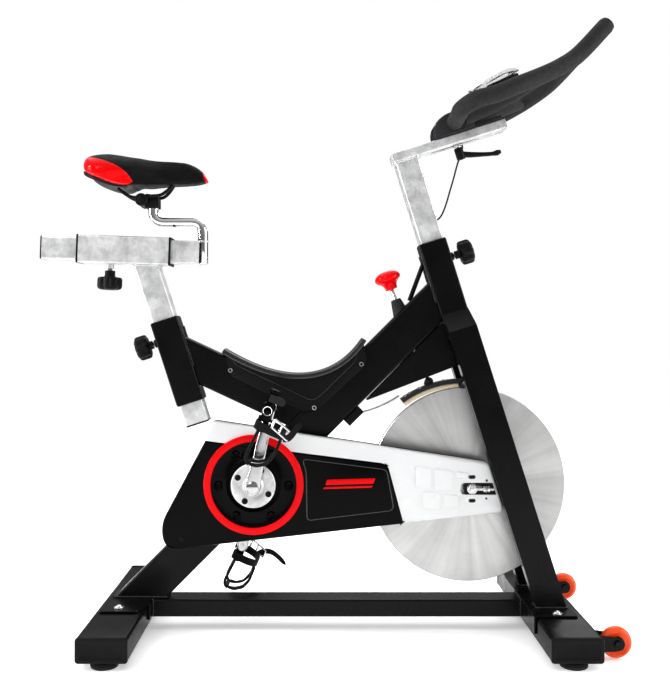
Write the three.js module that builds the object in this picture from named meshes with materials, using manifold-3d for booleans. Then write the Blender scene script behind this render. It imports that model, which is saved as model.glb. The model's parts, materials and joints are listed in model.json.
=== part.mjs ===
// Indoor spin bike: welded square-tube frame on two levelled stabilizers, belt-driven flywheel
// with a push-down felt brake, telescoping saddle and handlebar posts.
// Millimetres, +X forward, +Y to the rider's left, +Z up.
import * as THREE from 'three';
import { mergeVertices } from 'three/addons/utils/BufferGeometryUtils.js';
import Module from 'manifold-3d';

const wasm = await Module();
wasm.setup();

// ---------------------------------------------------------------- driving dimensions
const DATUM_X = -10.2;              // the side view's zero, from the middle of the whole bike
const GAP = 0.3;                    // between pieces that touch
const SIDES = { right: -1, left: 1 };

// base
const FOOT = { radius: 27, height: 15.8, y: 229, stud: 5, studTop: 34 };
const STABILIZER = { width: 100, height: 48, length: 520, wall: 2.5, corner: 6, cap: 6, z: 39.7 };
const REAR_X = -412.2;
const FRONT_X = 493.8;
const PLATE = 5;                    // thickness of the plates that bolt onto the stabilizers
const PLATE_BOTTOM = 32;
const REAR_PLATE = { halfWidth: 113, back: -453, front: -374, flange: 56 };
const FRONT_PLATE = { halfWidth: 143, front: 529 };
const BOTTOM_TUBE = { width: 60, bottom: 30, top: 67, wall: 2 };
const WHEEL = { x: 588, y: 190, z: 33, radius: 31, width: 24, axle: 5, ear: 13 };

// frame tubes
const BEAM = { depth: 80, width: 40, wall: 2, corner: 5 };
const MAIN_BEAM = { angle: 45, axisZ: 453.5, startX: -440, length: 1050 };  // centre line z = x + axisZ
const SEAT_BEAM = { angle: -25, start: [-330, 608.04], length: 500 };
const SLEEVE = { size: 60, bore: 50.8, corner: 4 };
const POST = { size: 50, wall: 2, corner: 4 };
const SEAT = { top: [-333, 668], lean: 18, length: 184, postTop: 124.5, postBottom: -232 };
const HEAD = { top: [247.4, 838], lean: 17.3, length: 210, postTop: 187.7, postBottom: -195 };
const PIN = { z: -41, boss: 9, bossLength: 8, shaft: 5.5, knob: 26.5 };
const LEG = { depth: 60, wall: 2.5, shoulder: 157, elbow: 195, foot: 820 };
const LEG_OUTER = { top: 74, bottom: 95.6 };
const LEG_WIDTH = 30;
const GUSSET = { corners: [[104, 495, 4], [302, 571, 0], [269, 663, 0]], wall: 3, half: 18, reach: 12 };
const DROPOUT = { inner: 60, outer: 66, half: 18, slot: 22 };

// drive
const BB = [-136, 322];             // bottom bracket
const BB_SHELL = { radius: 22, half: 34 };
const CRANK = { length: 172, angle: 12.4, inner: 90, outer: 106, axle: 8.5, spider: 47 };
const PEDAL = { turn: 112, inner: 112, outer: 203, length: 88, thick: 20, spindle: 6.5 };
const FLYWHEEL = { centre: [326, 313], radius: 211, half: 10, axle: 6, hub: 18, belt: 30 };
const BELT = { inner: 38, outer: 56, drive: 80, thick: 3 };
const COVER = { inner: 27, split: 44, outer: 70, wall: 2.5 };
const COVER_RING = { inner: 90.4, outer: 105.7, proud: 4 };
const COVER_OUTLINE = [             // x, z and corner radius
  [-326, 183.2, 33], [390, 263.4, 5], [390.5, 276, 4], [361.5, 367, 8], [-227, 456.2, 12],
  [-232, 428, 15], [-331, 240, 22],
];

// brake
const BRAKE_AXIS = { knob: [154, 756], clevis: [240, 529] };
const BRAKE_PIVOT = [318, 533];
const BRAKE_OPEN = 2.6;             // degrees between the pad's working place and its rest
const PAD = { from: 95.5, to: 129, thick: 9, half: 14, holder: 8 };
const LEAF_BLOCK = { x: 27.5, drop: 9, depth: 20, width: 30, length: 43 };   // under the main beam
const HOUSING_TOP = 44;             // along the brake rod from the knob's middle

// saddle and handlebar
const RAIL = { centre: [-420, 821.3], tilt: 2, half: 98, rear: -177.8, front: 163 };
const STEM = { radius: 11, frontX: -251.5, levelZ: 883.4, rearX: -359.8, bend: 25 };
const SADDLE_PIVOT = [-381.7, 930];
const BAR = { tube: 17.5, inner: 12.5 };
const STUD_X = 118;                 // clamp stud along the handlebar rail
const HANDLE_RAIL = { back: -26, front: 225, bottom: 188, top: 208, half: 30 };
const CABLE_RADIUS = 1.75;

// ---------------------------------------------------------------- materials
function finish(color, roughness, metalness) {
  return new THREE.MeshStandardMaterial({ color, roughness, metalness });
}

const LOOK = {
  frame: () => finish(0x0d0d0e, 0.3, 0.1),
  silver: () => finish(0xbfc0c0, 0.35, 0.9),
  chrome: () => finish(0xdcdde0, 0.08, 1),
  steel: () => finish(0xc4c4c2, 0.4, 0.9),
  blackPlastic: () => finish(0x17171a, 0.5, 0),
  whiteCover: () => finish(0xe9eaec, 0.25, 0),
  redGloss: () => finish(0xd0101a, 0.2, 0),
  vinyl: () => finish(0x1b1b1d, 0.6, 0),
  foam: () => finish(0x2f3032, 0.8, 0),
  rubber: () => finish(0x111111, 0.8, 0),
  wheel: () => finish(0xe8401c, 0.3, 0),
  felt: () => finish(0xdccba2, 0.95, 0),
};

// ---------------------------------------------------------------- geometry helpers
const rad = THREE.MathUtils.degToRad;
const side = (x, z, y = 0) => new THREE.Vector3(x, y, z);
const heading = (degrees) => side(Math.cos(rad(degrees)), Math.sin(rad(degrees)));
const ALONG_Y = new THREE.Vector3(0, 1, 0);
const UP = new THREE.Vector3(0, 0, 1);
const FORWARD = new THREE.Vector3(1, 0, 0);

/** The geometry with shared corners merged and the flat triangles at a lathe's poles left out. */
function welded(geometry) {
  const bare = new THREE.BufferGeometry();
  bare.setAttribute('position', geometry.getAttribute('position').clone());
  bare.setIndex(geometry.getIndex());
  const merged = mergeVertices(bare, 1e-3);
  const old = merged.getIndex().array;
  const kept = [];
  for (let i = 0; i < old.length; i += 3) {
    const [a, b, c] = [old[i], old[i + 1], old[i + 2]];
    if (a !== b && b !== c && c !== a) kept.push(a, b, c);
  }
  merged.setIndex(kept);
  return merged;
}

function solid(geometry) {
  const merged = welded(geometry);
  return new wasm.Manifold(new wasm.Mesh({
    numProp: 3,
    vertProperties: new Float32Array(merged.getAttribute('position').array),
    triVerts: new Uint32Array(merged.getIndex().array),
  }));
}

function geometryOf(manifold) {
  const mesh = manifold.getMesh();
  const geometry = new THREE.BufferGeometry();
  geometry.setAttribute('position', new THREE.BufferAttribute(new Float32Array(mesh.vertProperties), 3));
  geometry.setIndex(new THREE.BufferAttribute(new Uint32Array(mesh.triVerts), 1));
  return geometry;
}

function join(first, ...rest) {
  return geometryOf(rest.reduce((sum, piece) => sum.add(solid(piece)), solid(first)));
}

function cut(body, ...tools) {
  return geometryOf(tools.reduce((sum, tool) => sum.subtract(solid(tool)), solid(body)));
}

/** Moves local geometry so that its z runs along `along` and its y along `across`. */
function placed(geometry, origin, along, across = ALONG_Y) {
  const z = along.clone().normalize();
  const y = across.clone().normalize();
  const x = new THREE.Vector3().crossVectors(y, z);
  return geometry.applyMatrix4(new THREE.Matrix4().makeBasis(x, y, z).setPosition(origin));
}

/** Box between two corners. */
function box(x0, x1, y0, y1, z0, z1) {
  const geometry = new THREE.BoxGeometry(x1 - x0, y1 - y0, z1 - z0);
  return geometry.translate((x0 + x1) / 2, (y0 + y1) / 2, (z0 + z1) / 2);
}

/** Cylinder from one point to another. */
function rod(from, to, radius, sides = 12) {
  const along = new THREE.Vector3().subVectors(to, from);
  const geometry = new THREE.CylinderGeometry(radius, radius, along.length(), sides);
  geometry.rotateX(Math.PI / 2).translate(0, 0, along.length() / 2);
  const across = Math.abs(along.clone().normalize().y) > 0.9 ? UP : ALONG_Y;
  return placed(geometry, from, along, across);
}

/** Cylinder along Y through a point of the side view. */
const crossRod = ([x, z], radius, y0, y1, sides = 12) => rod(side(x, z, y0), side(x, z, y1), radius, sides);

/** Body of revolution: [radius, height] pairs going up its outer side, turned about `along`. */
function turned(profile, origin, along, sides = 16) {
  const geometry = new THREE.LatheGeometry(profile.map(([r, h]) => new THREE.Vector2(r, h)), sides);
  geometry.rotateX(Math.PI / 2);
  return placed(geometry, origin, along, Math.abs(along.y) > 0.9 ? UP : ALONG_Y);
}

/** Closed outline through [x, z, radius] corners. */
function outline(corners) {
  const shape = new THREE.Shape();
  const count = corners.length;
  corners.forEach(([x, z, radius = 0], index) => {
    const corner = new THREE.Vector2(x, z);
    const towards = (other, reach) => {
      const step = new THREE.Vector2(other[0], other[1]).sub(corner);
      return corner.clone().addScaledVector(step.normalize(), reach);
    };
    const before = towards(corners[(index + count - 1) % count], radius);
    const after = towards(corners[(index + 1) % count], radius);
    if (index === 0) shape.moveTo(before.x, before.y);
    else shape.lineTo(before.x, before.y);
    if (radius > 0) shape.quadraticCurveTo(x, z, after.x, after.y);
  });
  return shape;
}

/** The corners of an anticlockwise outline moved inwards by `distance`. */
function inset(corners, distance) {
  const count = corners.length;
  const direction = (a, b) => new THREE.Vector2(b[0] - a[0], b[1] - a[1]).normalize();
  return corners.map((corner, index) => {
    const into = direction(corners[(index + count - 1) % count], corner);
    const out = direction(corner, corners[(index + 1) % count]);
    const normal = new THREE.Vector2(-into.y - out.y, into.x + out.x).normalize();
    const reach = distance / (normal.x * -into.y + normal.y * into.x);
    return [corner[0] + normal.x * reach, corner[1] + normal.y * reach, Math.max(corner[2] - distance, 0)];
  });
}

/** Outline in the side view, given thickness from y0 to y1. */
function slab(shape, y0, y1, curveSegments = 4) {
  const geometry = new THREE.ExtrudeGeometry(shape, { depth: y1 - y0, bevelEnabled: false, curveSegments });
  return geometry.rotateX(Math.PI / 2).translate(0, y1, 0);
}

function rectangle(width, height, corner) {
  const [w, h, r] = [width / 2, height / 2, corner];
  const shape = new THREE.Shape();
  shape.moveTo(w, -h + r);
  shape.absarc(w - r, h - r, r, 0, Math.PI / 2);
  shape.absarc(-w + r, h - r, r, Math.PI / 2, Math.PI);
  shape.absarc(-w + r, -h + r, r, Math.PI, Math.PI * 1.5);
  shape.absarc(w - r, -h + r, r, Math.PI * 1.5, Math.PI * 2);
  return shape;
}

/** Square or flat tube along local z from 0 to `length`, open at both ends. */
function tube(width, depth, wall, corner, length) {
  const shape = rectangle(width, depth, corner);
  if (wall > 0) {
    const [w, d] = [width / 2 - wall, depth / 2 - wall];
    const corners = [[w, d], [-w, d], [-w, -d], [w, -d]];
    shape.holes.push(new THREE.Path(corners.map((corner) => new THREE.Vector2(...corner))));
  }
  return new THREE.ExtrudeGeometry(shape, { depth: length, bevelEnabled: false, curveSegments: 2 });
}

/** Takes away what lies on the normal's side of a plane. */
function trimmed(geometry, point, normal) {
  const reach = 1500;
  return cut(geometry, placed(box(-reach, reach, -reach, reach, 0, reach), point, normal));
}

/** Round bar along a curve. */
function bent(curve, radius, steps, sides = 10) {
  const section = new THREE.Shape();
  for (let i = 0; i < sides; i += 1) {
    const angle = (2 * Math.PI * i) / sides;
    const point = [radius * Math.cos(angle), radius * Math.sin(angle)];
    if (i === 0) section.moveTo(...point);
    else section.lineTo(...point);
  }
  return new THREE.ExtrudeGeometry(section, { steps, extrudePath: curve, bevelEnabled: false });
}

const smooth = (points) => new THREE.CatmullRomCurve3(points, false, 'centripetal');

/** Closed skin over rings of equal point count. */
function loft(rings) {
  const count = rings[0].length;
  const positions = rings.flat().flatMap((p) => [p.x, p.y, p.z]);
  const index = [];
  for (let i = 0; i + 1 < rings.length; i += 1) {
    for (let j = 0; j < count; j += 1) {
      const a = i * count + j;
      const b = i * count + ((j + 1) % count);
      index.push(a, b, a + count, b, b + count, a + count);
    }
  }
  const last = (rings.length - 1) * count;
  const cap = (ring) => THREE.ShapeUtils.triangulateShape(ring.map((p) => new THREE.Vector2(p.y, p.z)), []);
  cap(rings[0]).forEach(([a, b, c]) => index.push(a, c, b));
  cap(rings.at(-1)).forEach(([a, b, c]) => index.push(last + a, last + b, last + c));
  const geometry = new THREE.BufferGeometry();
  geometry.setAttribute('position', new THREE.Float32BufferAttribute(positions, 3));
  geometry.setIndex(index);
  return geometry;
}

/** Lobed hand knob: outline with `lobes` shallow waves, along local z from 0. */
function lobed(radius, height, lobes = 8) {
  const shape = new THREE.Shape();
  const count = lobes * 4;
  for (let i = 0; i < count; i += 1) {
    const angle = (2 * Math.PI * i) / count;
    const r = radius - 1.6 + 1.6 * Math.cos(lobes * angle);
    if (i === 0) shape.moveTo(r, 0);
    else shape.lineTo(r * Math.cos(angle), r * Math.sin(angle));
  }
  return new THREE.ExtrudeGeometry(shape, { depth: height, bevelEnabled: false });
}

// ---------------------------------------------------------------- scene graph
const bike = new THREE.Group();
bike.position.x = DATUM_X;

function add(parent, name, geometry, material) {
  const mesh = new THREE.Mesh(welded(geometry), material);
  mesh.name = name;
  parent.add(mesh);
}

function group([x, z], turn) {
  const made = new THREE.Group();
  made.position.set(x, 0, z);
  made.rotation.y = rad(turn);
  bike.add(made);
  return made;
}

// ---------------------------------------------------------------- base
function stabilizer(name, x) {
  const { width, height, length, wall, corner, cap, z } = STABILIZER;
  const hollow = length / 2 - cap;
  const outer = placed(tube(width, height, 0, corner, length), side(x, z, -length / 2), ALONG_Y, UP);
  const inner = placed(
    tube(width - 2 * wall, height - 2 * wall, 0, corner - wall, 2 * hollow), side(x, z, -hollow), ALONG_Y, UP,
  );
  const holes = Object.values(SIDES).map((s) => rod(
    side(x, 0, s * FOOT.y), side(x, FOOT.studTop, s * FOOT.y), FOOT.stud + GAP, 12,
  ));
  add(bike, name, cut(outer, inner, ...holes), LOOK.frame());
}

function foot(name, x, y) {
  const { radius, height, stud, studTop } = FOOT;
  const top = height - GAP;
  const profile = [
    [0, 0], [radius - 1, 0], [radius, 8], [radius - 5, top], [stud, top], [stud, studTop], [0, studTop],
  ];
  add(bike, name, turned(profile, side(x, 0, y), UP), LOOK.rubber());
}

function rearPlate() {
  const { halfWidth, back, front, flange } = REAR_PLATE;
  const bottom = STABILIZER.z + STABILIZER.height / 2 + GAP;
  const face = REAR_X + STABILIZER.width / 2 + GAP;
  const shape = outline([
    [back, -halfWidth, 6], [front, -halfWidth, 6], [face + PLATE, -flange], [face + PLATE, flange],
    [front, halfWidth, 6], [back, halfWidth, 6],
  ]);
  const top = new THREE.ExtrudeGeometry(shape, { depth: PLATE, bevelEnabled: false, curveSegments: 3 });
  top.translate(0, 0, bottom);
  const lip = box(face, face + PLATE, -flange, flange, PLATE_BOTTOM, bottom + 1);
  add(bike, 'rear_plate', join(top, lip), LOOK.frame());
}

function frontPlate() {
  const { halfWidth, front } = FRONT_PLATE;
  const bottom = STABILIZER.z + STABILIZER.height / 2 + GAP;
  const face = FRONT_X - STABILIZER.width / 2 - GAP;
  const shape = outline([
    [face - PLATE, -halfWidth], [front, -halfWidth, 8], [front, halfWidth, 8], [face - PLATE, halfWidth],
  ]);
  const top = new THREE.ExtrudeGeometry(shape, { depth: PLATE, bevelEnabled: false, curveSegments: 3 });
  top.translate(0, 0, bottom);
  const flange = box(face - PLATE, face, -halfWidth, halfWidth, PLATE_BOTTOM, bottom + 1);
  add(bike, 'front_plate', join(top, flange), LOOK.frame());
}

function bottomTube() {
  const { width, bottom, top, wall } = BOTTOM_TUBE;
  const start = REAR_X + STABILIZER.width / 2 + PLATE + 2 * GAP;
  const end = FRONT_X - STABILIZER.width / 2 - PLATE - 2 * GAP;
  const made = tube(top - bottom, width, wall, 4, end - start);
  add(bike, 'bottom_tube', placed(made, side(start, (bottom + top) / 2), FORWARD), LOOK.frame());
}

function wheelBracket(name, y) {
  const { x, z, width, axle, ear } = WHEEL;
  const back = FRONT_X + STABILIZER.width / 2 + GAP;
  const inner = width / 2 + 1.5;
  const outer = inner + 3;
  const cheek = new THREE.Shape();
  cheek.moveTo(back, z - ear - 2);
  cheek.lineTo(x, z - ear);
  cheek.absarc(x, z, ear, -Math.PI / 2, Math.PI / 2);
  cheek.lineTo(back, z + ear + 6);
  add(bike, name, join(
    box(back, back + 3, y - outer, y + outer, z - ear - 2, z + ear + 6),
    slab(cheek, y - outer, y - inner, 4),
    slab(cheek, y + inner, y + outer, 4),
    crossRod([x, z], axle, y - outer - 1, y + outer + 1, 12),
    crossRod([x, z], 8, y - outer - 5, y - outer + 1, 12),
    crossRod([x, z], 8, y + outer - 1, y + outer + 5, 12),
  ), LOOK.frame());
}

function transportWheel(name, y) {
  const { x, z, radius, width, axle } = WHEEL;
  const bore = axle + GAP;
  const half = width / 2;
  const profile = [
    [bore, -half], [radius - 9, -half], [radius - 2.5, -half + 4], [radius, 0], [radius - 2.5, half - 4],
    [radius - 9, half], [bore, half], [bore, -half],
  ];
  add(bike, name, turned(profile, side(x, z, y), ALONG_Y, 20), LOOK.wheel());
}

function base() {
  stabilizer('rear_stabilizer', REAR_X);
  stabilizer('front_stabilizer', FRONT_X);
  rearPlate();
  frontPlate();
  bottomTube();
  for (const [hand, s] of Object.entries(SIDES)) {
    foot(`foot_rear_${hand}`, REAR_X, s * FOOT.y);
    foot(`foot_front_${hand}`, FRONT_X, s * FOOT.y);
    wheelBracket(`wheel_bracket_${hand}`, s * WHEEL.y);
    transportWheel(`transport_wheel_${hand}`, s * WHEEL.y);
  }
}

// ---------------------------------------------------------------- frame
const seatForward = heading(SEAT.lean);
const headBack = heading(180 + HEAD.lean);
const plateTop = STABILIZER.z + STABILIZER.height / 2 + PLATE + 2 * GAP;
const beamAxis = (x) => side(x, x + MAIN_BEAM.axisZ);
const beamNormal = heading(MAIN_BEAM.angle + 90);
const brakeDown = side(
  BRAKE_AXIS.clevis[0] - BRAKE_AXIS.knob[0], BRAKE_AXIS.clevis[1] - BRAKE_AXIS.knob[1],
).normalize();
const brakePoint = (distance) => side(...BRAKE_AXIS.knob).addScaledVector(brakeDown, distance);

function mainBeamBar(depth, width, wall) {
  const made = tube(depth, width, wall, BEAM.corner, MAIN_BEAM.length);
  return placed(made, beamAxis(MAIN_BEAM.startX), heading(MAIN_BEAM.angle));
}

function mainBeam() {
  const headFace = side(...HEAD.top).addScaledVector(headBack, SLEEVE.size / 2 + GAP);
  const trimmedBeam = trimmed(
    trimmed(mainBeamBar(BEAM.depth, BEAM.width, BEAM.wall), headFace, headBack.clone().negate()),
    side(0, plateTop), UP.clone().negate(),
  );
  const blockFoot = beamAxis(LEAF_BLOCK.x).addScaledVector(beamNormal, -BEAM.depth / 2 - LEAF_BLOCK.drop);
  const { depth, width, length } = LEAF_BLOCK;
  const block = placed(tube(depth, width, 0, 3, length), blockFoot, heading(MAIN_BEAM.angle));
  const shell = crossRod(BB, BB_SHELL.radius, -BB_SHELL.half, BB_SHELL.half, 18);
  return cut(
    join(trimmedBeam, shell, block),
    crossRod(BB, CRANK.axle + GAP, -40, 40, 16),
    rod(brakePoint(40), brakePoint(200), 6, 12),
  );
}

function seatBeamBar(depth, width, wall) {
  const made = tube(depth, width, wall, BEAM.corner, SEAT_BEAM.length);
  return placed(made, side(...SEAT_BEAM.start), heading(SEAT_BEAM.angle));
}

function seatBeam() {
  const sleeveFace = side(...SEAT.top).addScaledVector(seatForward, SLEEVE.size / 2 + GAP);
  const beamFace = beamAxis(0).addScaledVector(beamNormal, BEAM.depth / 2 + GAP);
  const bar = seatBeamBar(BEAM.depth, BEAM.width, BEAM.wall);
  const fromSleeve = trimmed(bar, sleeveFace, seatForward.clone().negate());
  return trimmed(fromSleeve, beamFace, beamNormal.clone().negate());
}

/** Square sleeve hanging from its group's origin, with a threaded boss for the pull pin. */
function sleeve(length, bossSide) {
  const wall = (SLEEVE.size - SLEEVE.bore) / 2;
  const made = tube(SLEEVE.size, SLEEVE.size, wall, SLEEVE.corner, length).translate(0, 0, -length);
  const face = SLEEVE.size / 2;
  const boss = rod(
    side(bossSide * (face - 2), PIN.z), side(bossSide * (face + PIN.bossLength), PIN.z), PIN.boss, 16,
  );
  const bore = rod(side(bossSide * 20, PIN.z), side(bossSide * 50, PIN.z), PIN.shaft + GAP, 12);
  return cut(join(made, boss), bore);
}

/** Leg of the front fork, in the head tube's own frame. */
function forkLeg(s) {
  const slope = (LEG_OUTER.bottom - LEG_OUTER.top) / (LEG.foot - LEG.elbow);
  const outer = (depth) => LEG_OUTER.top + slope * (depth - LEG.elbow);
  const inner = (depth) => outer(depth) - LEG_WIDTH;
  const faceY = SLEEVE.size / 2 + GAP;
  const profile = (wall, end) => {
    const shape = new THREE.Shape();
    shape.moveTo(faceY + wall, -LEG.shoulder - 1.2 * wall);
    shape.lineTo(outer(LEG.elbow) - wall, -LEG.elbow - 0.3 * wall);
    shape.lineTo(outer(end) - wall, -end);
    shape.lineTo(inner(end) + wall, -end);
    shape.lineTo(inner(240) + wall, -240);
    shape.lineTo(faceY + wall, -205);
    return shape;
  };
  const leg = (wall, end) => {
    const half = LEG.depth / 2 - wall;
    const made = new THREE.ExtrudeGeometry(profile(wall, end), { depth: 2 * half, bevelEnabled: false });
    made.translate(0, 0, -half);
    return placed(made, side(0, 0), FORWARD, UP);
  };
  const made = cut(leg(0, LEG.foot), leg(LEG.wall, LEG.foot + 30));
  if (s < 0) made.rotateZ(Math.PI);
  return made;
}

/** Fork leg in the side view, with its dropout plate and the end of the brake's cross pin. */
function leg(s) {
  const made = forkLeg(s);
  made.rotateY(rad(-HEAD.lean)).translate(HEAD.top[0], 0, HEAD.top[1]);
  const standing = trimmed(made, side(0, plateTop), UP.clone().negate());
  const [x, z] = FLYWHEEL.centre;
  const plate = new THREE.Shape();
  plate.moveTo(x, z - DROPOUT.half);
  plate.lineTo(x + 67, z - DROPOUT.half - 4);
  plate.lineTo(x + 60, z + DROPOUT.half + 4);
  plate.lineTo(x, z + DROPOUT.half);
  plate.absarc(x, z, DROPOUT.half, Math.PI / 2, Math.PI * 1.5);
  const slot = new THREE.Shape();
  slot.absarc(x, z, FLYWHEEL.axle + GAP, Math.PI / 2, Math.PI * 1.5);
  slot.lineTo(x + DROPOUT.slot, z - FLYWHEEL.axle - GAP);
  slot.lineTo(x + DROPOUT.slot, z + FLYWHEEL.axle + GAP);
  const y = [s * DROPOUT.inner, s * DROPOUT.outer].sort((a, b) => a - b);
  const dropout = cut(slab(plate, ...y, 8), slab(slot, y[0] - 1, y[1] + 1, 8));
  if (s > 0) return join(standing, dropout);
  return join(standing, dropout, crossRod(BRAKE_PIVOT, 4, -49, 46, 12));
}

/** Folded three-cornered box under the main beam; its hollow opens towards the beam. */
function gussetBox() {
  const { corners, wall, half, reach } = GUSSET;
  const towardsBeam = ([x, z]) => [x + reach * beamNormal.x, z + reach * beamNormal.z, 0];
  const inner = inset(corners, wall);
  const outer = slab(outline(corners), -half, half);
  const opened = [...inner, towardsBeam(inner[2]), towardsBeam(inner[0])];
  const hollow = slab(outline(opened), wall - half, half - wall);
  const beam = mainBeamBar(BEAM.depth + 2 * GAP, BEAM.width + 2 * GAP, 0);
  const head = side(...HEAD.top).addScaledVector(headBack, SLEEVE.size / 2 + GAP);
  const boxed = trimmed(cut(outer, hollow, beam), head, headBack.clone().negate());
  return cut(boxed, rod(brakePoint(150), brakePoint(240), 7, 12));
}

function headTube() {
  const made = sleeve(HEAD.length, 1);
  made.rotateY(rad(-HEAD.lean)).translate(HEAD.top[0], 0, HEAD.top[1]);
  const brace = rod(side(230.5, 794), side(200, 712), 5, 10);
  const beam = mainBeamBar(BEAM.depth + 2 * GAP, BEAM.width + 2 * GAP, 0);
  return join(made, cut(brace, beam));
}

/** Moulded guard that straddles the two beams where they meet. */
function sweatGuard() {
  const [skirt, web] = [26, 3];
  const top = (shape, drop) => {
    shape.lineTo(96.5, 630.5 - drop);
    shape.bezierCurveTo(40, 545 - drop, -60, 520 - drop, -203, 607 - drop);
  };
  const body = new THREE.Shape();
  body.moveTo(-200, 594);
  body.lineTo(-188, 549);
  body.lineTo(-40, 476);
  body.quadraticCurveTo(-15, 464, 6, 482);
  body.lineTo(100, 569);
  body.lineTo(107, 591);
  top(body, 0);
  const cavity = new THREE.Shape();
  cavity.moveTo(-203, 440);
  cavity.lineTo(96.5, 440);
  top(cavity, web);
  const shell = cut(slab(body, -skirt, skirt, 8), slab(cavity, -21, 21, 8));
  const clearance = 2 * GAP + 0.4;
  return cut(
    shell,
    mainBeamBar(BEAM.depth + clearance, BEAM.width + 2.2, 0),
    seatBeamBar(BEAM.depth + clearance, BEAM.width + 2.2, 0),
  );
}

function frame() {
  add(bike, 'main_beam', mainBeam(), LOOK.frame());
  add(bike, 'seat_beam', seatBeam(), LOOK.frame());
  add(group(SEAT.top, -SEAT.lean), 'seat_sleeve', sleeve(SEAT.length, -1), LOOK.frame());
  add(bike, 'head_tube', headTube(), LOOK.frame());
  add(bike, 'fork_leg_right', leg(SIDES.right), LOOK.frame());
  add(bike, 'fork_leg_left', leg(SIDES.left), LOOK.frame());
  add(bike, 'gusset_box', gussetBox(), LOOK.frame());
  add(bike, 'sweat_guard', sweatGuard(), LOOK.blackPlastic());
}

// ---------------------------------------------------------------- drive
function coverHalf(from, to, floor) {
  const corners = COVER_OUTLINE;
  const wall = inset(corners, COVER.wall);
  const body = slab(outline(corners), -to, -from, 3);
  const [near, far] = floor === 'outer' ? [from - 1, to - COVER.wall] : [from + COVER.wall, to + 1];
  return cut(body, slab(outline(wall), -far, -near, 3));
}

function covers() {
  const slot = outline([[300, 301, 8], [400, 301], [400, 326], [300, 326, 8]]);
  const outer = cut(
    coverHalf(COVER.split + GAP, COVER.outer, 'outer'),
    crossRod(BB, 60, -COVER.outer - 5, -COVER.outer + 5, 28),
    slab(slot, -COVER.outer - 5, -COVER.outer + 5, 4),
    box(350, 400, -DROPOUT.outer - 1, -DROPOUT.inner + 1, 288, 338),
  );
  const inner = cut(
    coverHalf(COVER.inner, COVER.split, 'inner'),
    crossRod(BB, 25, -COVER.inner - 5, -COVER.inner + 5, 16),
    crossRod(FLYWHEEL.centre, 36, -COVER.inner - 5, -COVER.inner + 5, 16),
  );
  add(bike, 'belt_cover_outer', outer, LOOK.whiteCover());
  add(bike, 'belt_cover_inner', inner, LOOK.blackPlastic());
  const { inner: r0, outer: r1, proud } = COVER_RING;
  const profile = [[r0, GAP], [r1, GAP], [r1 - 1.5, proud], [r0 + 1.5, proud], [r0, GAP]];
  const ring = turned(profile, side(...BB, -COVER.outer), ALONG_Y.clone().negate(), 36);
  add(bike, 'cover_ring', ring, LOOK.redGloss());
}

/** Arm pointing up local z from the bottom bracket, on side s. */
function crankArm(s, withSpider) {
  const shape = new THREE.Shape();
  shape.absarc(0, 0, 17, Math.PI, 2 * Math.PI);
  shape.lineTo(12, CRANK.length - 4);
  shape.absarc(0, CRANK.length, 13, -0.3, Math.PI + 0.3);
  const [y0, y1] = [s * CRANK.inner, s * CRANK.outer].sort((a, b) => a - b);
  const pieces = [
    slab(shape, y0, y1, 6),
    crossRod([0, 0], 17, s * 74, s * (CRANK.outer - 1), 16),
    crossRod([0, CRANK.length], PEDAL.spindle, s * 100, s * 192, 14),
  ];
  if (withSpider) pieces.push(crossRod([0, 0], CRANK.spider, s * 78, s * 84, 28));
  const arm = cut(join(...pieces), crossRod([0, 0], CRANK.axle + GAP, s * 60, s * 100, 16));
  if (s > 0) arm.rotateY(Math.PI);
  return arm;
}

function cranks() {
  const made = group(BB, CRANK.angle);
  add(made, 'crank_axle', crossRod([0, 0], CRANK.axle, -99, 99, 16), LOOK.steel());
  add(made, 'crank_right', crankArm(SIDES.right, true), LOOK.chrome());
  add(made, 'crank_left', crankArm(SIDES.left, false), LOOK.chrome());
  const [bore, rim] = [CRANK.axle + GAP, BELT.drive];
  const profile = [
    [bore, BELT.inner], [rim, BELT.inner], [rim, BELT.outer], [rim - 8, BELT.outer],
    [rim - 8, BELT.inner + 6], [bore, BELT.inner + 6], [bore, BELT.inner],
  ];
  add(made, 'drive_pulley', turned(profile, side(0, 0), ALONG_Y.clone().negate(), 28), LOOK.blackPlastic());
}

/** Platform pedal lying flat in its own frame: x towards the toes, z up through the sole. */
function platform(s) {
  const { inner, outer, length, thick, spindle } = PEDAL;
  const half = length / 2;
  const shape = outline([
    [-half, inner, 9], [half, inner, 9], [half - 4, outer, 12], [-half + 4, outer, 12],
  ]);
  const windows = [[-half + 9, -12], [12, half - 9]].map(([x0, x1]) => box(
    x0, x1, inner + 14, outer - 16, -thick, thick,
  ));
  const body = new THREE.ExtrudeGeometry(shape, { depth: thick, bevelEnabled: false, curveSegments: 3 });
  body.translate(0, 0, -thick / 2);
  const bore = rod(side(0, 0, inner - 5), side(0, 0, 194), spindle + GAP + 0.1, 14);
  const made = cut(body, ...windows, bore);
  return s > 0 ? made : made.rotateX(Math.PI);
}

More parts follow.
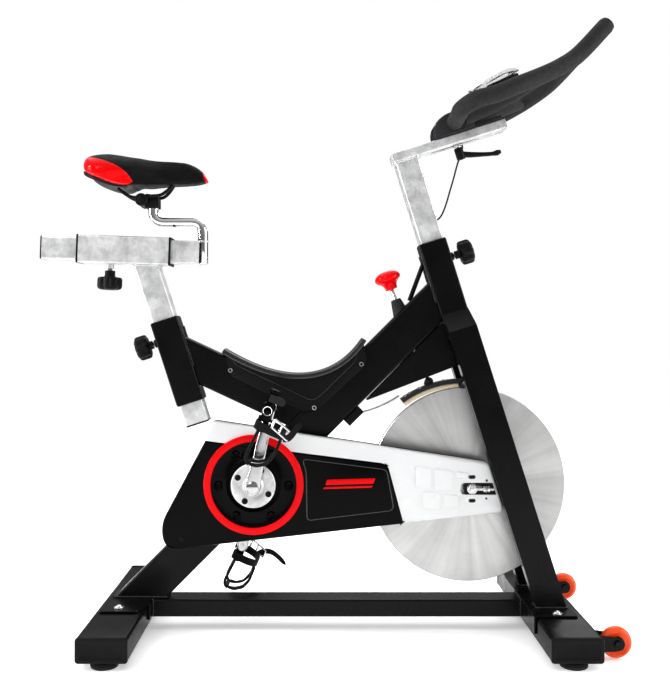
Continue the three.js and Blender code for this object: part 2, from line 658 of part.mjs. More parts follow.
/** Toe clip and strap over the platform, in the pedal's own frame. */
function toeClip(s) {
  const { inner, outer, length, thick } = PEDAL;
  const middle = (inner + outer) / 2;
  const [front, lift] = [length / 2 + GAP, thick / 2];
  const strip = new THREE.Shape();
  strip.moveTo(front, -4);
  strip.lineTo(102, -1);
  strip.quadraticCurveTo(113, 2, 110, 17);
  strip.quadraticCurveTo(104, 43, 44, 46);
  strip.lineTo(44, 43);
  strip.quadraticCurveTo(101, 40, 107, 17);
  strip.quadraticCurveTo(109, 4, 102, 2);
  strip.lineTo(front, 2);
  const window = box(front + 8, 100, middle - 26, middle + 26, -10, 36);
  const clip = cut(slab(strip, middle - 38, middle + 38, 5), window);
  const hoop = new THREE.Shape();
  hoop.moveTo(inner - 1, lift - 8);
  hoop.bezierCurveTo(inner - 4, 42, inner + 14, 46, middle, 46);
  hoop.bezierCurveTo(outer - 14, 46, outer + 4, 42, outer + 1, lift - 8);
  hoop.lineTo(outer + 2.6, lift - 8);
  hoop.bezierCurveTo(outer + 7, 45, outer - 12, 48.5, middle, 48.5);
  hoop.bezierCurveTo(inner + 12, 48.5, inner - 7, 45, inner - 2.6, lift - 8);
  const strap = new THREE.ExtrudeGeometry(hoop, { depth: 24, bevelEnabled: false, curveSegments: 8 });
  const loop = placed(strap, new THREE.Vector3(24, 0, 0), FORWARD, UP);
  const made = join(clip, loop);
  return s > 0 ? made : made.translate(0, -2 * middle, 0);
}

function pedal(hand, s) {
  const reach = rad(CRANK.angle + (s > 0 ? 180 : 0));
  const made = group(
    [BB[0] + CRANK.length * Math.sin(reach), BB[1] + CRANK.length * Math.cos(reach)], PEDAL.turn,
  );
  add(made, `pedal_${hand}`, platform(s), LOOK.blackPlastic());
  add(made, `toe_clip_${hand}`, toeClip(s), LOOK.blackPlastic());
}

function flywheel() {
  const { centre, radius, half, axle, hub, belt } = FLYWHEEL;
  const bore = axle + GAP;
  const wheel = group(centre, 0);
  const profile = [
    [bore, -14], [hub, -14], [hub, -half], [radius, -half], [radius, half], [hub, half], [hub, BELT.inner],
    [belt, BELT.inner], [belt, BELT.outer], [bore, BELT.outer], [bore, -14],
  ];
  add(wheel, 'flywheel', turned(profile, side(0, 0), ALONG_Y.clone().negate(), 40), LOOK.steel());
}

/** Fixed flywheel axle with its nuts and the eye bolts that tension the belt. */
function flywheelAxle() {
  const [x, z] = FLYWHEEL.centre;
  const pieces = [crossRod([x, z], FLYWHEEL.axle, -79, 79, 16)];
  for (const s of Object.values(SIDES)) {
    const plane = s * (DROPOUT.outer + 7);
    pieces.push(crossRod([x, z], 10, s * 57.5, s * (DROPOUT.inner - GAP), 6));
    pieces.push(crossRod([x, z], 10, s * (DROPOUT.outer + GAP), s * (DROPOUT.outer + 11), 12));
    pieces.push(rod(side(x, z, plane), side(x + 45, z, plane), 3.5, 8));
    pieces.push(rod(side(x + 24, z, plane), side(x + 29, z, plane), 6, 6));
  }
  return join(...pieces);
}

/** Flat belt loop round the two pulleys, centre to centre. */
function driveBelt() {
  const span = new THREE.Vector2(FLYWHEEL.centre[0] - BB[0], FLYWHEEL.centre[1] - BB[1]);
  const tilt = Math.atan2(span.y, span.x);
  const wrap = Math.acos((BELT.drive - FLYWHEEL.belt) / span.length());
  const loop = (Kind, grow) => {
    const shape = new Kind();
    shape.absarc(BB[0], BB[1], BELT.drive + grow, tilt + wrap, tilt - wrap + 2 * Math.PI);
    shape.absarc(FLYWHEEL.centre[0], FLYWHEEL.centre[1], FLYWHEEL.belt + grow, tilt - wrap, tilt + wrap);
    return shape;
  };
  const shape = loop(THREE.Shape, BELT.thick + 1.2);
  shape.holes.push(loop(THREE.Path, 1.2));
  return slab(shape, -BELT.outer + 3, -BELT.inner - 3, 9);
}

function drive() {
  covers();
  cranks();
  for (const [hand, s] of Object.entries(SIDES)) pedal(hand, s);
  flywheel();
  add(bike, 'flywheel_axle', flywheelAxle(), LOOK.steel());
  add(bike, 'drive_belt', driveBelt(), LOOK.rubber());
}

// ---------------------------------------------------------------- brake
const openBrake = (geometry) => {
  const [x, z] = BRAKE_PIVOT;
  return geometry.translate(-x, 0, -z).rotateY(rad(BRAKE_OPEN)).translate(x, 0, z);
};

/** Part of a ring round the flywheel, from one radius to another. */
function arcBlock(r0, r1, half, from = PAD.from) {
  const [x, z] = FLYWHEEL.centre;
  const shape = new THREE.Shape();
  shape.absarc(x, z, r1, rad(from), rad(PAD.to));
  shape.absarc(x, z, r0, rad(PAD.to), rad(from), true);
  return slab(shape, -half, half, 8);
}

function brake() {
  const padFace = FLYWHEEL.radius + GAP;
  const holderFace = padFace + PAD.thick + GAP;
  const eye = crossRod(BRAKE_PIVOT, 8, -17, 17, 16);
  const lug = slab(outline([[232, 524], [252, 528], [250, 541], [236, 541]]), -6, 6);
  const holder = cut(
    join(arcBlock(holderFace, holderFace + PAD.holder, 17, PAD.from - 3), eye, lug),
    crossRod(BRAKE_PIVOT, 4.4, -20, 20, 12),
  );
  add(bike, 'brake_holder', openBrake(holder), LOOK.blackPlastic());
  add(bike, 'brake_pad', openBrake(arcBlock(padFace, padFace + PAD.thick, PAD.half)), LOOK.felt());

  const strip = new THREE.Shape();
  strip.moveTo(97, 468);
  strip.quadraticCurveTo(140, 478, 177, 503);
  strip.lineTo(177, 505);
  strip.quadraticCurveTo(140, 480, 97, 470);
  const blockReach = LEAF_BLOCK.drop + LEAF_BLOCK.depth / 2 + GAP;
  const beamBlock = mainBeamBar(BEAM.depth + 2 * blockReach, BEAM.width, 0);
  add(bike, 'brake_leaf', cut(slab(strip, -12, 12, 6), beamBlock), LOOK.steel());

  add(bike, 'brake_rod', join(
    rod(brakePoint(6), brakePoint(222), 4, 12), rod(brakePoint(214), brakePoint(224), 6, 12),
  ), LOOK.steel());
  const body = [[4.6, 0], [11, 0], [18, 36], [19.5, 52], [4.6, 52], [4.6, 0]];
  const cone = turned(body, brakePoint(HOUSING_TOP), brakeDown, 16);
  const beamTop = beamAxis(0).addScaledVector(beamNormal, BEAM.depth / 2 + GAP);
  add(bike, 'knob_housing', trimmed(cone, beamTop, beamNormal.clone().negate()), LOOK.blackPlastic());
  const cap = [
    [0, 16], [4.4, 16], [4.4, 0], [13, 0], [15.5, 12], [26, 19], [28.5, 26], [26.5, 34], [17, 40], [0, 42],
  ];
  add(bike, 'resistance_knob', turned(cap, brakePoint(21), brakeDown.clone().negate(), 18), LOOK.redGloss());
}

// ---------------------------------------------------------------- saddle
/** Straight runs joined by rounded corners. */
function filleted(points, radius) {
  const path = new THREE.CurvePath();
  let from = points[0];
  for (let i = 1; i < points.length; i += 1) {
    const corner = points[i];
    const next = points[i + 1];
    const into = new THREE.Vector3().subVectors(corner, points[i - 1]).normalize();
    const before = next ? corner.clone().addScaledVector(into, -radius) : corner;
    path.add(new THREE.LineCurve3(from, before));
    if (next) {
      const out = new THREE.Vector3().subVectors(next, corner).normalize();
      from = corner.clone().addScaledVector(out, radius);
      path.add(new THREE.QuadraticBezierCurve3(before, corner, from));
    }
  }
  return path;
}

/** Screw or pull pin with a lobed head, along `direction` from its tip. */
function handKnob(tip, direction, { shaft, neck, head, reach, height, radius }) {
  const at = (distance) => tip.clone().addScaledVector(direction, distance);
  return join(
    rod(at(0), at(head + 4), shaft, 12),
    rod(at(neck), at(head + 2), reach, 16),
    placed(lobed(radius, height), at(head), direction),
  );
}

/** Square post in its sleeve's frame, with a row of pin holes in one face. */
function post(bottom, top, holeSide, holes) {
  const made = tube(POST.size, POST.size, POST.wall, POST.corner, top - bottom).translate(0, 0, bottom);
  const bores = holes.map((z) => rod(side(holeSide * 20, z), side(holeSide * 30, z), 6, 8));
  return cut(made, ...bores);
}

// stations from tail to nose: x, half width, top, side edge and middle of the underside
const SADDLE = [
  [-503, 46, 1008, 990, 994], [-494, 78, 1024, 980, 985], [-470, 97, 1028, 968, 975],
  [-433, 101, 1025, 956, 968], [-402, 93, 1020, 957, 967], [-384, 81, 1018, 961, 966],
  [-364, 63, 1015, 962, 965], [-345, 48, 1013.5, 963, 966], [-308, 34, 1012, 964, 967],
  [-270, 28, 1006.5, 965, 968], [-248, 22, 994, 967, 969], [-236, 13, 977, 968, 970],
];

// how far the pad's lower edge is drawn in under its sides, at the thighs
const TUCK = { x: -395, spread: 45, most: 0.36 };
const PAD_SKIN = { hem: 2, crown: 0.7, under: 0.98 };      // hem height, roundness, width of the underside
const BASE_SHELL = { drop: 2.4, thick: 7.4, top: 0.7, bottom: 0.66 };    // widths are shares of the pad's
const drawnIn = (x) => 1 - TUCK.most * Math.exp(-(((x - TUCK.x) / TUCK.spread) ** 2));

function saddlePad() {
  const rings = SADDLE.map(([x, half, top, edge, middle]) => {
    const ring = [];
    const low = drawnIn(x);
    const hem = edge + PAD_SKIN.hem;
    for (let i = 0; i <= 8; i += 1) {
      const angle = (Math.PI * i) / 8;
      const width = half * (i === 0 || i === 8 ? low : 1);
      ring.push(side(x, hem + (top - hem) * Math.sin(angle) ** PAD_SKIN.crown, width * Math.cos(angle)));
    }
    for (let i = 0; i <= 4; i += 1) {
      const across = -1 + i / 2;
      const z = edge + (middle - edge) * (1 - across * across);
      ring.push(side(x, z, half * PAD_SKIN.under * low * across));
    }
    return ring;
  });
  return loft(rings);
}

function saddleBase() {
  const { drop, thick, top, bottom } = BASE_SHELL;
  const rings = SADDLE.slice(1, -1).map(([x, half, , edge, middle]) => {
    const ring = [];
    const under = (across) => edge + (middle - edge) * (1 - across * across) - drop;
    const width = half * drawnIn(x);
    for (let i = 0; i <= 4; i += 1) {
      const across = top * (1 - i / 2);
      ring.push(side(x, under(across), width * across));
    }
    for (let i = 0; i <= 4; i += 1) {
      const across = bottom * (i / 2 - 1);
      ring.push(side(x, under(across) - thick, width * across));
    }
    return ring;
  });
  return loft(rings);
}

function saddleRails() {
  const half = [
    side(-432, 953.6, 27), side(-410, 938, 23), side(-395, 937.5, 22), side(-365, 939.5, 22),
    side(-348, 942, 21), side(-325, 950, 15), side(-314, 953, 6),
  ];
  const other = half.map((p) => p.clone().setY(-p.y)).reverse();
  return bent(smooth([...half, ...other]), 3.5, 28, 6);
}

function seat() {
  const railUp = heading(90 - RAIL.tilt);
  const underRail = side(...RAIL.centre).addScaledVector(railUp, -SLEEVE.size / 2 - GAP);
  const seatHoles = [-141, -91, PIN.z, 39, 79];
  const upright = post(SEAT.postBottom, SEAT.postTop + 30, -1, seatHoles);
  upright.rotateY(rad(-SEAT.lean)).translate(SEAT.top[0], 0, SEAT.top[1]);
  add(bike, 'seat_post', trimmed(upright, underRail, railUp), LOOK.silver());

  const onRail = group(RAIL.centre, RAIL.tilt);
  const wall = (SLEEVE.size - SLEEVE.bore) / 2;
  const railTube = placed(
    tube(SLEEVE.size, SLEEVE.size, wall, SLEEVE.corner, 2 * RAIL.half), side(-RAIL.half, 0), FORWARD,
  );
  const knobX = -33;
  const boss = rod(side(knobX, -28), side(knobX, -40), 8, 16);
  const bore = rod(side(knobX, -20), side(knobX, -50), PIN.shaft + GAP, 12);
  add(onRail, 'rail_sleeve', cut(join(railTube, boss), bore), LOOK.silver());
  const screw = {
    shaft: PIN.shaft, neck: 19, head: 33, reach: 11, height: 28, radius: 27,
  };
  add(onRail, 'slider_knob', handKnob(side(knobX, -26), side(0, -1), screw), LOOK.blackPlastic());

  const { radius, frontX, levelZ, rearX, bend } = STEM;
  const bar = placed(
    tube(POST.size, POST.size, POST.wall, POST.corner, RAIL.front - RAIL.rear), side(RAIL.rear, 0), FORWARD,
  );
  bar.rotateY(rad(RAIL.tilt)).translate(RAIL.centre[0], 0, RAIL.centre[1]);
  const stemSeat = rod(side(frontX, 700), side(frontX, 900), radius + GAP, 20);
  add(bike, 'seat_slider', cut(bar, stemSeat), LOOK.silver());
  const route = filleted(
    [side(frontX, 791), side(frontX, levelZ), side(rearX, levelZ), side(rearX, 935)], bend,
  );
  add(bike, 'seat_stem', bent(route, radius, 20, 10), LOOK.chrome());

  const [px, pz] = SADDLE_PIVOT;
  const collar = cut(
    join(slab(outline([[-376, 913], [-346, 913], [-346, 945], [-376, 945]]), -15, 15),
      crossRod([px, pz], 13, -12, 12, 20)),
    rod(side(rearX, 900), side(rearX, 937), radius + GAP, 16),
    crossRod([px, pz], 4 + GAP, -20, 20, 12),
  );
  add(bike, 'saddle_clamp', collar, LOOK.blackPlastic());
  const channel = (y) => rod(side(-412, 936, y), side(-348, 941, y), 4.2, 10);
  const ears = join(
    crossRod([px, pz], 4, -31, 31, 12),
    crossRod([px, pz], 15, 16, 29, 16),
    crossRod([px, pz], 15, -29, -16, 16),
  );
  add(bike, 'rail_clamp', cut(ears, channel(22), channel(-22)), LOOK.blackPlastic());
  add(bike, 'saddle_rails', saddleRails(), LOOK.blackPlastic());
  add(bike, 'saddle_base', saddleBase(), LOOK.blackPlastic());
  add(bike, 'saddle_pad', saddlePad(), LOOK.vinyl());
  const pin = {
    shaft: PIN.shaft, neck: 16, head: 25, reach: 9, height: 29, radius: PIN.knob,
  };
  const onSleeve = group(SEAT.top, -SEAT.lean);
  add(onSleeve, 'seat_pin_knob', handKnob(side(-26, PIN.z), side(-1, 0), pin), LOOK.blackPlastic());
}

// ---------------------------------------------------------------- handlebar
// right half of the grip tube, from the clamp outwards: x, z, distance from the middle
const GRIP_ROUTE = [
  [294, 1095, 35], [291, 1093.5, 110], [291, 1095, 158], [314, 1107.5, 178], [354, 1118.5, 180],
  [401.5, 1139, 172], [457, 1165, 150], [496, 1187, 130], [535, 1215, 112], [600, 1283, 100],
];
const INNER_ROUTE = [[312, 1098, 50], [345, 1110, 52], [389, 1131, 62], [440, 1157, 100], [478, 1177, 138]];
// console lead in the head tube's frame, from inside the rail down into the post
const CABLE_ROUTE = [
  [131.5, 192], [131.5, 183], [124, 169], [111, 152], [102, 138], [92, 122], [76, 98], [58, 71],
  [43, 53], [33, 46.5], [20, 45],
];
const CABLE_Y = 16;

function handlebar() {
  const route = GRIP_ROUTE.map(([x, z, y]) => side(x, z, y));
  const grip = smooth([...route.map((p) => p.clone().setY(-p.y)).reverse(), ...route]);
  const inner = Object.values(SIDES).map((s) => bent(
    smooth(INNER_ROUTE.map(([x, z, y]) => side(x, z, s * y))), BAR.inner, 8, 8,
  ));
  add(bike, 'handlebar', join(bent(grip, BAR.tube, 40, 10), ...inner), LOOK.foam());
}

function clampLever() {
  const arm = outline([
    [122, 170, 0], [122, 156, 0], [190, 139.5, 8], [209, 141, 6], [205, 152, 5], [193, 150, 3],
  ]);
  const lever = join(rod(side(STUD_X, 155), side(STUD_X, 181), 9.5, 20), slab(arm, -6, 6));
  return cut(lever, rod(side(STUD_X, 157), side(STUD_X, 190), 5 + GAP, 12));
}

function handlebarClamp() {
  const housing = outline([
    [71, 208.3, 3], [161, 208.3, 3], [161, 228, 8], [140, 255, 14], [100, 254, 16], [73, 232, 10],
  ]);
  const barAt = [120.9, 231.5];
  return cut(
    join(
      slab(housing, -36, 36),
      box(150, 222, -30, 30, 208.3, 218),
      rod(side(STUD_X, 158), side(STUD_X, 212), 5, 12),
    ),
    crossRod(barAt, BAR.tube + 0.8, -50, 50, 24),
  );
}

function controls() {
  const head = group(HEAD.top, -HEAD.lean);
  const { back, front, bottom, top, half } = HANDLE_RAIL;
  const cableHole = (from, to) => rod(from, to, CABLE_RADIUS * 2, 10);
  const upright = post(HEAD.postBottom, HEAD.postTop, 1, [-86, PIN.z, 80, 120]);
  add(head, 'handlebar_post', cut(
    upright, cableHole(side(15, 45, CABLE_Y), side(30, 45, CABLE_Y)),
  ), LOOK.silver());
  const flat = tube(top - bottom, 2 * half, 2.5, 3, front - back);
  const bar = placed(flat, side(back, (bottom + top) / 2), FORWARD);
  add(head, 'handlebar_rail', cut(
    bar, box(58, 168, -6.5, 6.5, bottom - 5, top + 5),
    cableHole(side(131.5, bottom - 5, CABLE_Y), side(131.5, bottom + 6, CABLE_Y)),
  ), LOOK.silver());
  const lead = smooth(CABLE_ROUTE.map(([x, z]) => side(x, z, CABLE_Y)));
  add(head, 'console_cable', bent(lead, CABLE_RADIUS, 20, 8), LOOK.rubber());
  add(head, 'handlebar_clamp', handlebarClamp(), LOOK.blackPlastic());
  add(head, 'clamp_lever', clampLever(), LOOK.blackPlastic());
  const pin = {
    shaft: PIN.shaft, neck: 16, head: 27, reach: 9, height: 29, radius: PIN.knob,
  };
  add(head, 'head_pin_knob', handKnob(side(26, PIN.z), side(1, 0), pin), LOOK.blackPlastic());
  handlebar();
  const screen = outline([
    [325, 1158, 3], [342, 1153, 5], [434, 1187, 8], [445, 1203, 6],
    [430, 1213, 8], [400, 1206, 12], [345, 1176, 10],
  ]);
  const stalk = outline([[310.6, 1118.7], [321.6, 1118.7], [372, 1168], [352, 1168]]);
  add(bike, 'console', join(slab(screen, -43, 43), slab(stalk, -15, 15)), LOOK.whiteCover());
}

base();
frame();
drive();
brake();
seat();
controls();

export default bike;
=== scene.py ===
"""Indoor spin bike: the looks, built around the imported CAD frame.

Lengths here are millimetres in the bike's side view: x forward, y to the rider's left, z up.
`MADE` turns them into the row frame, in metres.
"""

import json
import math

import bmesh
import bpy
from mathutils import Matrix, Vector
from mathutils.geometry import delaunay_2d_cdt

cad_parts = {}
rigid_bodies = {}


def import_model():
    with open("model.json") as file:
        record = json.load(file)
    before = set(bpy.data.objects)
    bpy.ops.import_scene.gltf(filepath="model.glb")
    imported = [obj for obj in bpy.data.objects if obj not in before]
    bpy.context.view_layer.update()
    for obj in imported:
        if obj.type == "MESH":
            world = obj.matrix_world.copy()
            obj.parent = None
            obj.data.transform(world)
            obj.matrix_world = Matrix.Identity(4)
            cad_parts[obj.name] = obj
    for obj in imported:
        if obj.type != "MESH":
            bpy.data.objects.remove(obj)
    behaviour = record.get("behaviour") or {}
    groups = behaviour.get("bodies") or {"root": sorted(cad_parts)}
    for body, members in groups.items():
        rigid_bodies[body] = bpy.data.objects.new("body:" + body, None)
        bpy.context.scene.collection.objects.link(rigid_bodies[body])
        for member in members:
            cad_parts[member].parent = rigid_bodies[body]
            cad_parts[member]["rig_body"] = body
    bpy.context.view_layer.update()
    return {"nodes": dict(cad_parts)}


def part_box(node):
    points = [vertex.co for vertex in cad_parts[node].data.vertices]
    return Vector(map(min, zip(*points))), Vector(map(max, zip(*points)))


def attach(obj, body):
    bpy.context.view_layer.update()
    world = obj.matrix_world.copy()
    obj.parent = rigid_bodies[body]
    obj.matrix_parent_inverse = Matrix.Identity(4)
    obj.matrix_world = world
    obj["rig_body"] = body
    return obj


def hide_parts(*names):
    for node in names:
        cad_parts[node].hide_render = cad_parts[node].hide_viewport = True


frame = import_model()

# ------------------------------------------------------------------ driving dimensions
MM = 0.001
DATUM_X = -10.2          # the side view's zero, from the middle of the whole bike
MADE = Matrix.Scale(MM, 4) @ Matrix.Translation((DATUM_X, 0, 0))
SIDES = {"right": -1, "left": 1}
FORWARD, LEFT, UP = Vector((1, 0, 0)), Vector((0, 1, 0)), Vector((0, 0, 1))

REAR_X, FRONT_X = -412.2, 493.8                      # stabilizers
STABILIZER = dict(width=100, height=48, half=260, z=39.7, corner=7, cap=7)
PLATE_TOP = 69.3
FOOT_Y = 229
WHEEL = dict(x=588, y=190, z=33, radius=31, width=24)
BEAM = dict(depth=80, width=40, angle=45, axis_z=453.5)
SLEEVE, POST = 60, 50
SEAT = dict(top=(-333, 668), lean=18, length=184)
HEAD = dict(top=(247.4, 838), lean=17.3, length=210)
PIN_Z = -41              # pull pins, below the top of their sleeves
LEG = dict(depth=60, top=74, bottom=95.6, elbow=195, foot=820, width=30)
BB = (-136, 322)
CRANK = dict(length=172, angle=12.4, inner=90, outer=106, spider=47)
PEDAL = dict(turn=112, inner=112, outer=203, length=88, thick=20)
AXLE = (326, 313)
FLYWHEEL = dict(radius=211, half=10, hub=18, belt=30)
COVER = dict(inner=27, split=44, outer=70)
COVER_RING = dict(inner=90.4, outer=105.7)
BRAKE = dict(knob=(154, 756), clevis=(240, 529), pivot=(318, 533), open=2.6)
PAD = dict(start=95.5, end=129, thick=9, half=14, holder=8)
RAIL = dict(centre=(-420, 821.3), tilt=2, half=98, rear=-177.8, front=163)
STEM = dict(radius=11, front=-251.5, level=883.4, rear=-359.8, bend=25)
SADDLE_PIVOT = (-381.7, 930)
BAR = dict(tube=17.5, inner=12.5)
CABLE_RADIUS = 1.75
WASHER = 1.4             # thickness under a bolt head
INSERT_CORNER = 3.6
BEVEL_STEPS = 2
WELDED = 2e-6            # points closer than this, in metres, are one


def heading(degrees):
    angle = math.radians(degrees)
    return Vector((math.cos(angle), 0, math.sin(angle)))


def side(x, z, y=0.0):
    return Vector((x, y, z))


def basis(origin, along, across=None):
    """Matrix whose z runs along `along`, with y as near to `across` as it can be."""
    z = Vector(along).normalized()
    if across is None:
        across = LEFT if abs(z.y) < 0.9 else UP
    x = Vector(across).cross(z).normalized()
    y = z.cross(x)
    return Matrix.Translation(Vector(origin)) @ Matrix((x, y, z)).transposed().to_4x4()


def turned_about(point, degrees):
    """Turn about a line through a point of the side view; positive tips the nose down."""
    there = Matrix.Translation(side(*point))
    return there @ Matrix.Rotation(math.radians(degrees), 4, LEFT) @ there.inverted()


def local(origin, degrees):
    """A sub-assembly's own frame, as the CAD groups are placed."""
    return Matrix.Translation(side(*origin)) @ Matrix.Rotation(math.radians(degrees), 4, LEFT)


HEAD_FRAME = local(HEAD["top"], -HEAD["lean"])
SEAT_FRAME = local(SEAT["top"], -SEAT["lean"])
RAIL_FRAME = local(RAIL["centre"], RAIL["tilt"])
CRANK_FRAME = local(BB, CRANK["angle"])
BRAKE_FRAME = turned_about(BRAKE["pivot"], BRAKE["open"])


# ------------------------------------------------------------------ shape helpers
class Form:
    """Surfaces being put together, in side-view millimetres."""

    def __init__(self, place=None):
        self.place = place or Matrix.Identity(4)
        self.points, self.faces, self.marks = [], [], []

    def add(self, points, faces, mark=0):
        first = len(self.points)
        self.points += [self.place @ Vector(p) for p in points]
        self.faces += [[first + i for i in face] for face in faces]
        self.marks += [mark] * len(faces)
        return self


def lathe(form, profile, origin, along, segments=48, mark=0, wobble=None):
    """Body of revolution through (radius, height) pairs; a radius of 0 is a pole."""
    place = basis(origin, along)
    points, rings, faces = [], [], []
    for radius, height in profile:
        ring = []
        for i in range(1 if radius == 0 else segments):
            angle = 2 * math.pi * i / segments
            r = radius + (wobble(angle, height) if wobble and radius else 0)
            ring.append(len(points))
            points.append(place @ Vector((r * math.cos(angle), r * math.sin(angle), height)))
        rings.append(ring)
    for a, b in zip(rings, rings[1:]):
        for i in range(segments):
            j = (i + 1) % segments
            if len(a) == 1 and len(b) > 1:
                faces.append((a[0], b[j], b[i]))
            elif len(b) == 1 and len(a) > 1:
                faces.append((a[i], a[j], b[0]))
            elif len(a) > 1:
                faces.append((a[i], a[j], b[j], b[i]))
    form.add(points, faces, mark)


def rounded(corners, steps=5):
    """Outline through (x, z, radius) corners, each rounded by a quadratic curve."""
    points, count = [], len(corners)
    for index, (x, z, *rest) in enumerate(corners):
        radius = rest[0] if rest else 0
        corner = Vector((x, z))
        if not radius:
            points.append((x, z))
            continue
        before = Vector(corners[index - 1][:2])
        after = Vector(corners[(index + 1) % count][:2])
        start = corner + (before - corner).normalized() * radius
        end = corner + (after - corner).normalized() * radius
        for i in range(steps + 1):
            t = i / steps
            point = start * (1 - t) ** 2 + corner * 2 * t * (1 - t) + end * t ** 2
            points.append((point.x, point.y))
    return points


def prism(form, outline, low, high, holes=False):
    """Outline in the side view, given thickness from y `low` to `high`."""
    n = len(outline)
    points = [(x, low, z) for x, z in outline] + [(x, high, z) for x, z in outline]
    faces = [[i, (i + 1) % n, n + (i + 1) % n, n + i] for i in range(n)]
    if not holes:
        faces += [list(range(n)), list(range(n, 2 * n))]
    form.add(points, faces)


def stack(form, rings, closed=False, capped=True):
    """Skin over rings of equal point count."""
    n = len(rings[0])
    points = [p for ring in rings for p in ring]
    faces = []
    spans = len(rings) if closed else len(rings) - 1
    for k in range(spans):
        a, b = k * n, ((k + 1) % len(rings)) * n
        faces += [[a + i, a + (i + 1) % n, b + (i + 1) % n, b + i] for i in range(n)]
    if capped and not closed:
        faces += [list(range(n)), list(range(len(points) - n, len(points)))]
    form.add(points, faces)


def circle(radius, sides=24):
    turn = 2 * math.pi / sides
    return [(radius * math.cos(turn * i), radius * math.sin(turn * i)) for i in range(sides)]


def rectangle(width, height, corner, steps=5):
    w, h = width / 2, height / 2
    return rounded([(w, -h, corner), (w, h, corner), (-w, h, corner), (-w, -h, corner)], steps)


def sweep(form, path, section, up=None, grow=None, closed=False):
    """Section of (across, up) pairs along a path; `grow(t)` scales it from one end to the other."""
    path = [Vector(p) for p in path]
    count = len(path)
    rings, carried = [], None
    for k, point in enumerate(path):
        ahead = path[(k + 1) % count] if closed else path[min(k + 1, count - 1)]
        behind = path[k - 1] if closed else path[max(k - 1, 0)]
        along = (ahead - behind).normalized()
        if up is not None:
            v = Vector(up)
        elif carried is None:
            v = LEFT if abs(along.y) < 0.9 else UP
        else:
            v = carried
        v = (v - along * v.dot(along)).normalized()
        carried = v
        u = v.cross(along)
        size = grow(k / (count - 1)) if grow else 1
        rings.append([point + (u * a + v * b) * size for a, b in section])
    stack(form, rings, closed=closed)


def smooth_path(points, steps=8):
    """Centripetal Catmull-Rom curve through points."""
    points = [Vector(p) for p in points]
    first = points[0] * 2 - points[1]
    last = points[-1] * 2 - points[-2]
    ends = [first, *points, last]
    made = []
    for a, b, c, d in zip(ends, ends[1:], ends[2:], ends[3:]):
        t0 = 0.0
        t1 = t0 + (b - a).length ** 0.5
        t2 = t1 + (c - b).length ** 0.5
        t3 = t2 + (d - c).length ** 0.5
        for i in range(steps):
            t = t1 + (t2 - t1) * i / steps
            p = a * ((t1 - t) / (t1 - t0)) + b * ((t - t0) / (t1 - t0))
            q = b * ((t2 - t) / (t2 - t1)) + c * ((t - t1) / (t2 - t1))
            r = c * ((t3 - t) / (t3 - t2)) + d * ((t - t2) / (t3 - t2))
            s = p * ((t2 - t) / (t2 - t0)) + q * ((t - t0) / (t2 - t0))
            u = q * ((t3 - t) / (t3 - t1)) + r * ((t - t1) / (t3 - t1))
            made.append(s * ((t2 - t) / (t2 - t1)) + u * ((t - t1) / (t2 - t1)))
    return made + [points[-1]]


def filleted(points, radius, steps=10):
    """Straight runs joined by rounded corners."""
    points = [Vector(p) for p in points]
    made = [points[0]]
    for a, b, c in zip(points, points[1:], points[2:]):
        start = b + (a - b).normalized() * radius
        end = b + (c - b).normalized() * radius
        for i in range(steps + 1):
            t = i / steps
            made.append(start * (1 - t) ** 2 + b * 2 * t * (1 - t) + end * t ** 2)
    return made + [points[-1]]


def evenly(points, spacing):
    """The same polyline with a point about every `spacing`."""
    points = [Vector(p) for p in points]
    made = []
    for a, b in zip(points, points[1:]):
        steps = max(1, round((b - a).length / spacing))
        made += [a.lerp(b, i / steps) for i in range(steps)]
    return made + [points[-1]]


def bolt(form, at, along, radius, washer=True):
    """Domed bolt head with a socket, on a washer."""
    if washer:
        lathe(form, [(0, 0), (radius * 1.45, 0), (radius * 1.45, WASHER), (0, WASHER)], at, along, 28)
    base = Vector(at) + Vector(along).normalized() * (WASHER if washer else 0)
    dome = [(radius * math.cos(a), radius * 0.62 * math.sin(a)) for a in (0, 0.3, 0.6, 0.9, 1.2)]
    socket = [(radius * 0.36, radius * 0.6), (radius * 0.34, radius * 0.25), (0, radius * 0.25)]
    lathe(form, [(0, 0), *dome, *socket], base, along, 24)


def plain_ring(form, inner, outer, height, at, along, segments):
    """Plain ring standing on a point: a washer, or a nut if it has six segments."""
    lathe(form, [(inner, 0), (outer, 0), (outer, height), (inner, height), (inner, 0)], at, along, segments)


def strip(form, a, y0, b, y1):
    """Band between two outlines of the side view, each at its own y."""
    n = len(a)
    points = [side(x, z, y0) for x, z in a] + [side(x, z, y1) for x, z in b]
    form.add(points, [[i, (i + 1) % n, n + (i + 1) % n, n + i] for i in range(n)])


def tiers(form, levels, closed=False, place=None):
    """Skin over (height, outline) levels, one above another."""
    place = place or Matrix.Identity(4)
    stack(form, [[place @ Vector((u, v, z)) for u, v in outline] for z, outline in levels], closed=closed)


def rim_insert(form, place, z0, z1, outside, hole):
    """Square plastic collar between two heights of a frame."""
    outer, inner = (rectangle(width, width, INSERT_CORNER) for width in (outside, hole))
    tiers(form, ((z0, outer), (z1, outer), (z1, inner), (z0, inner)), True, place)


# ------------------------------------------------------------------ pieces
BEVEL_FROM = math.radians(38)


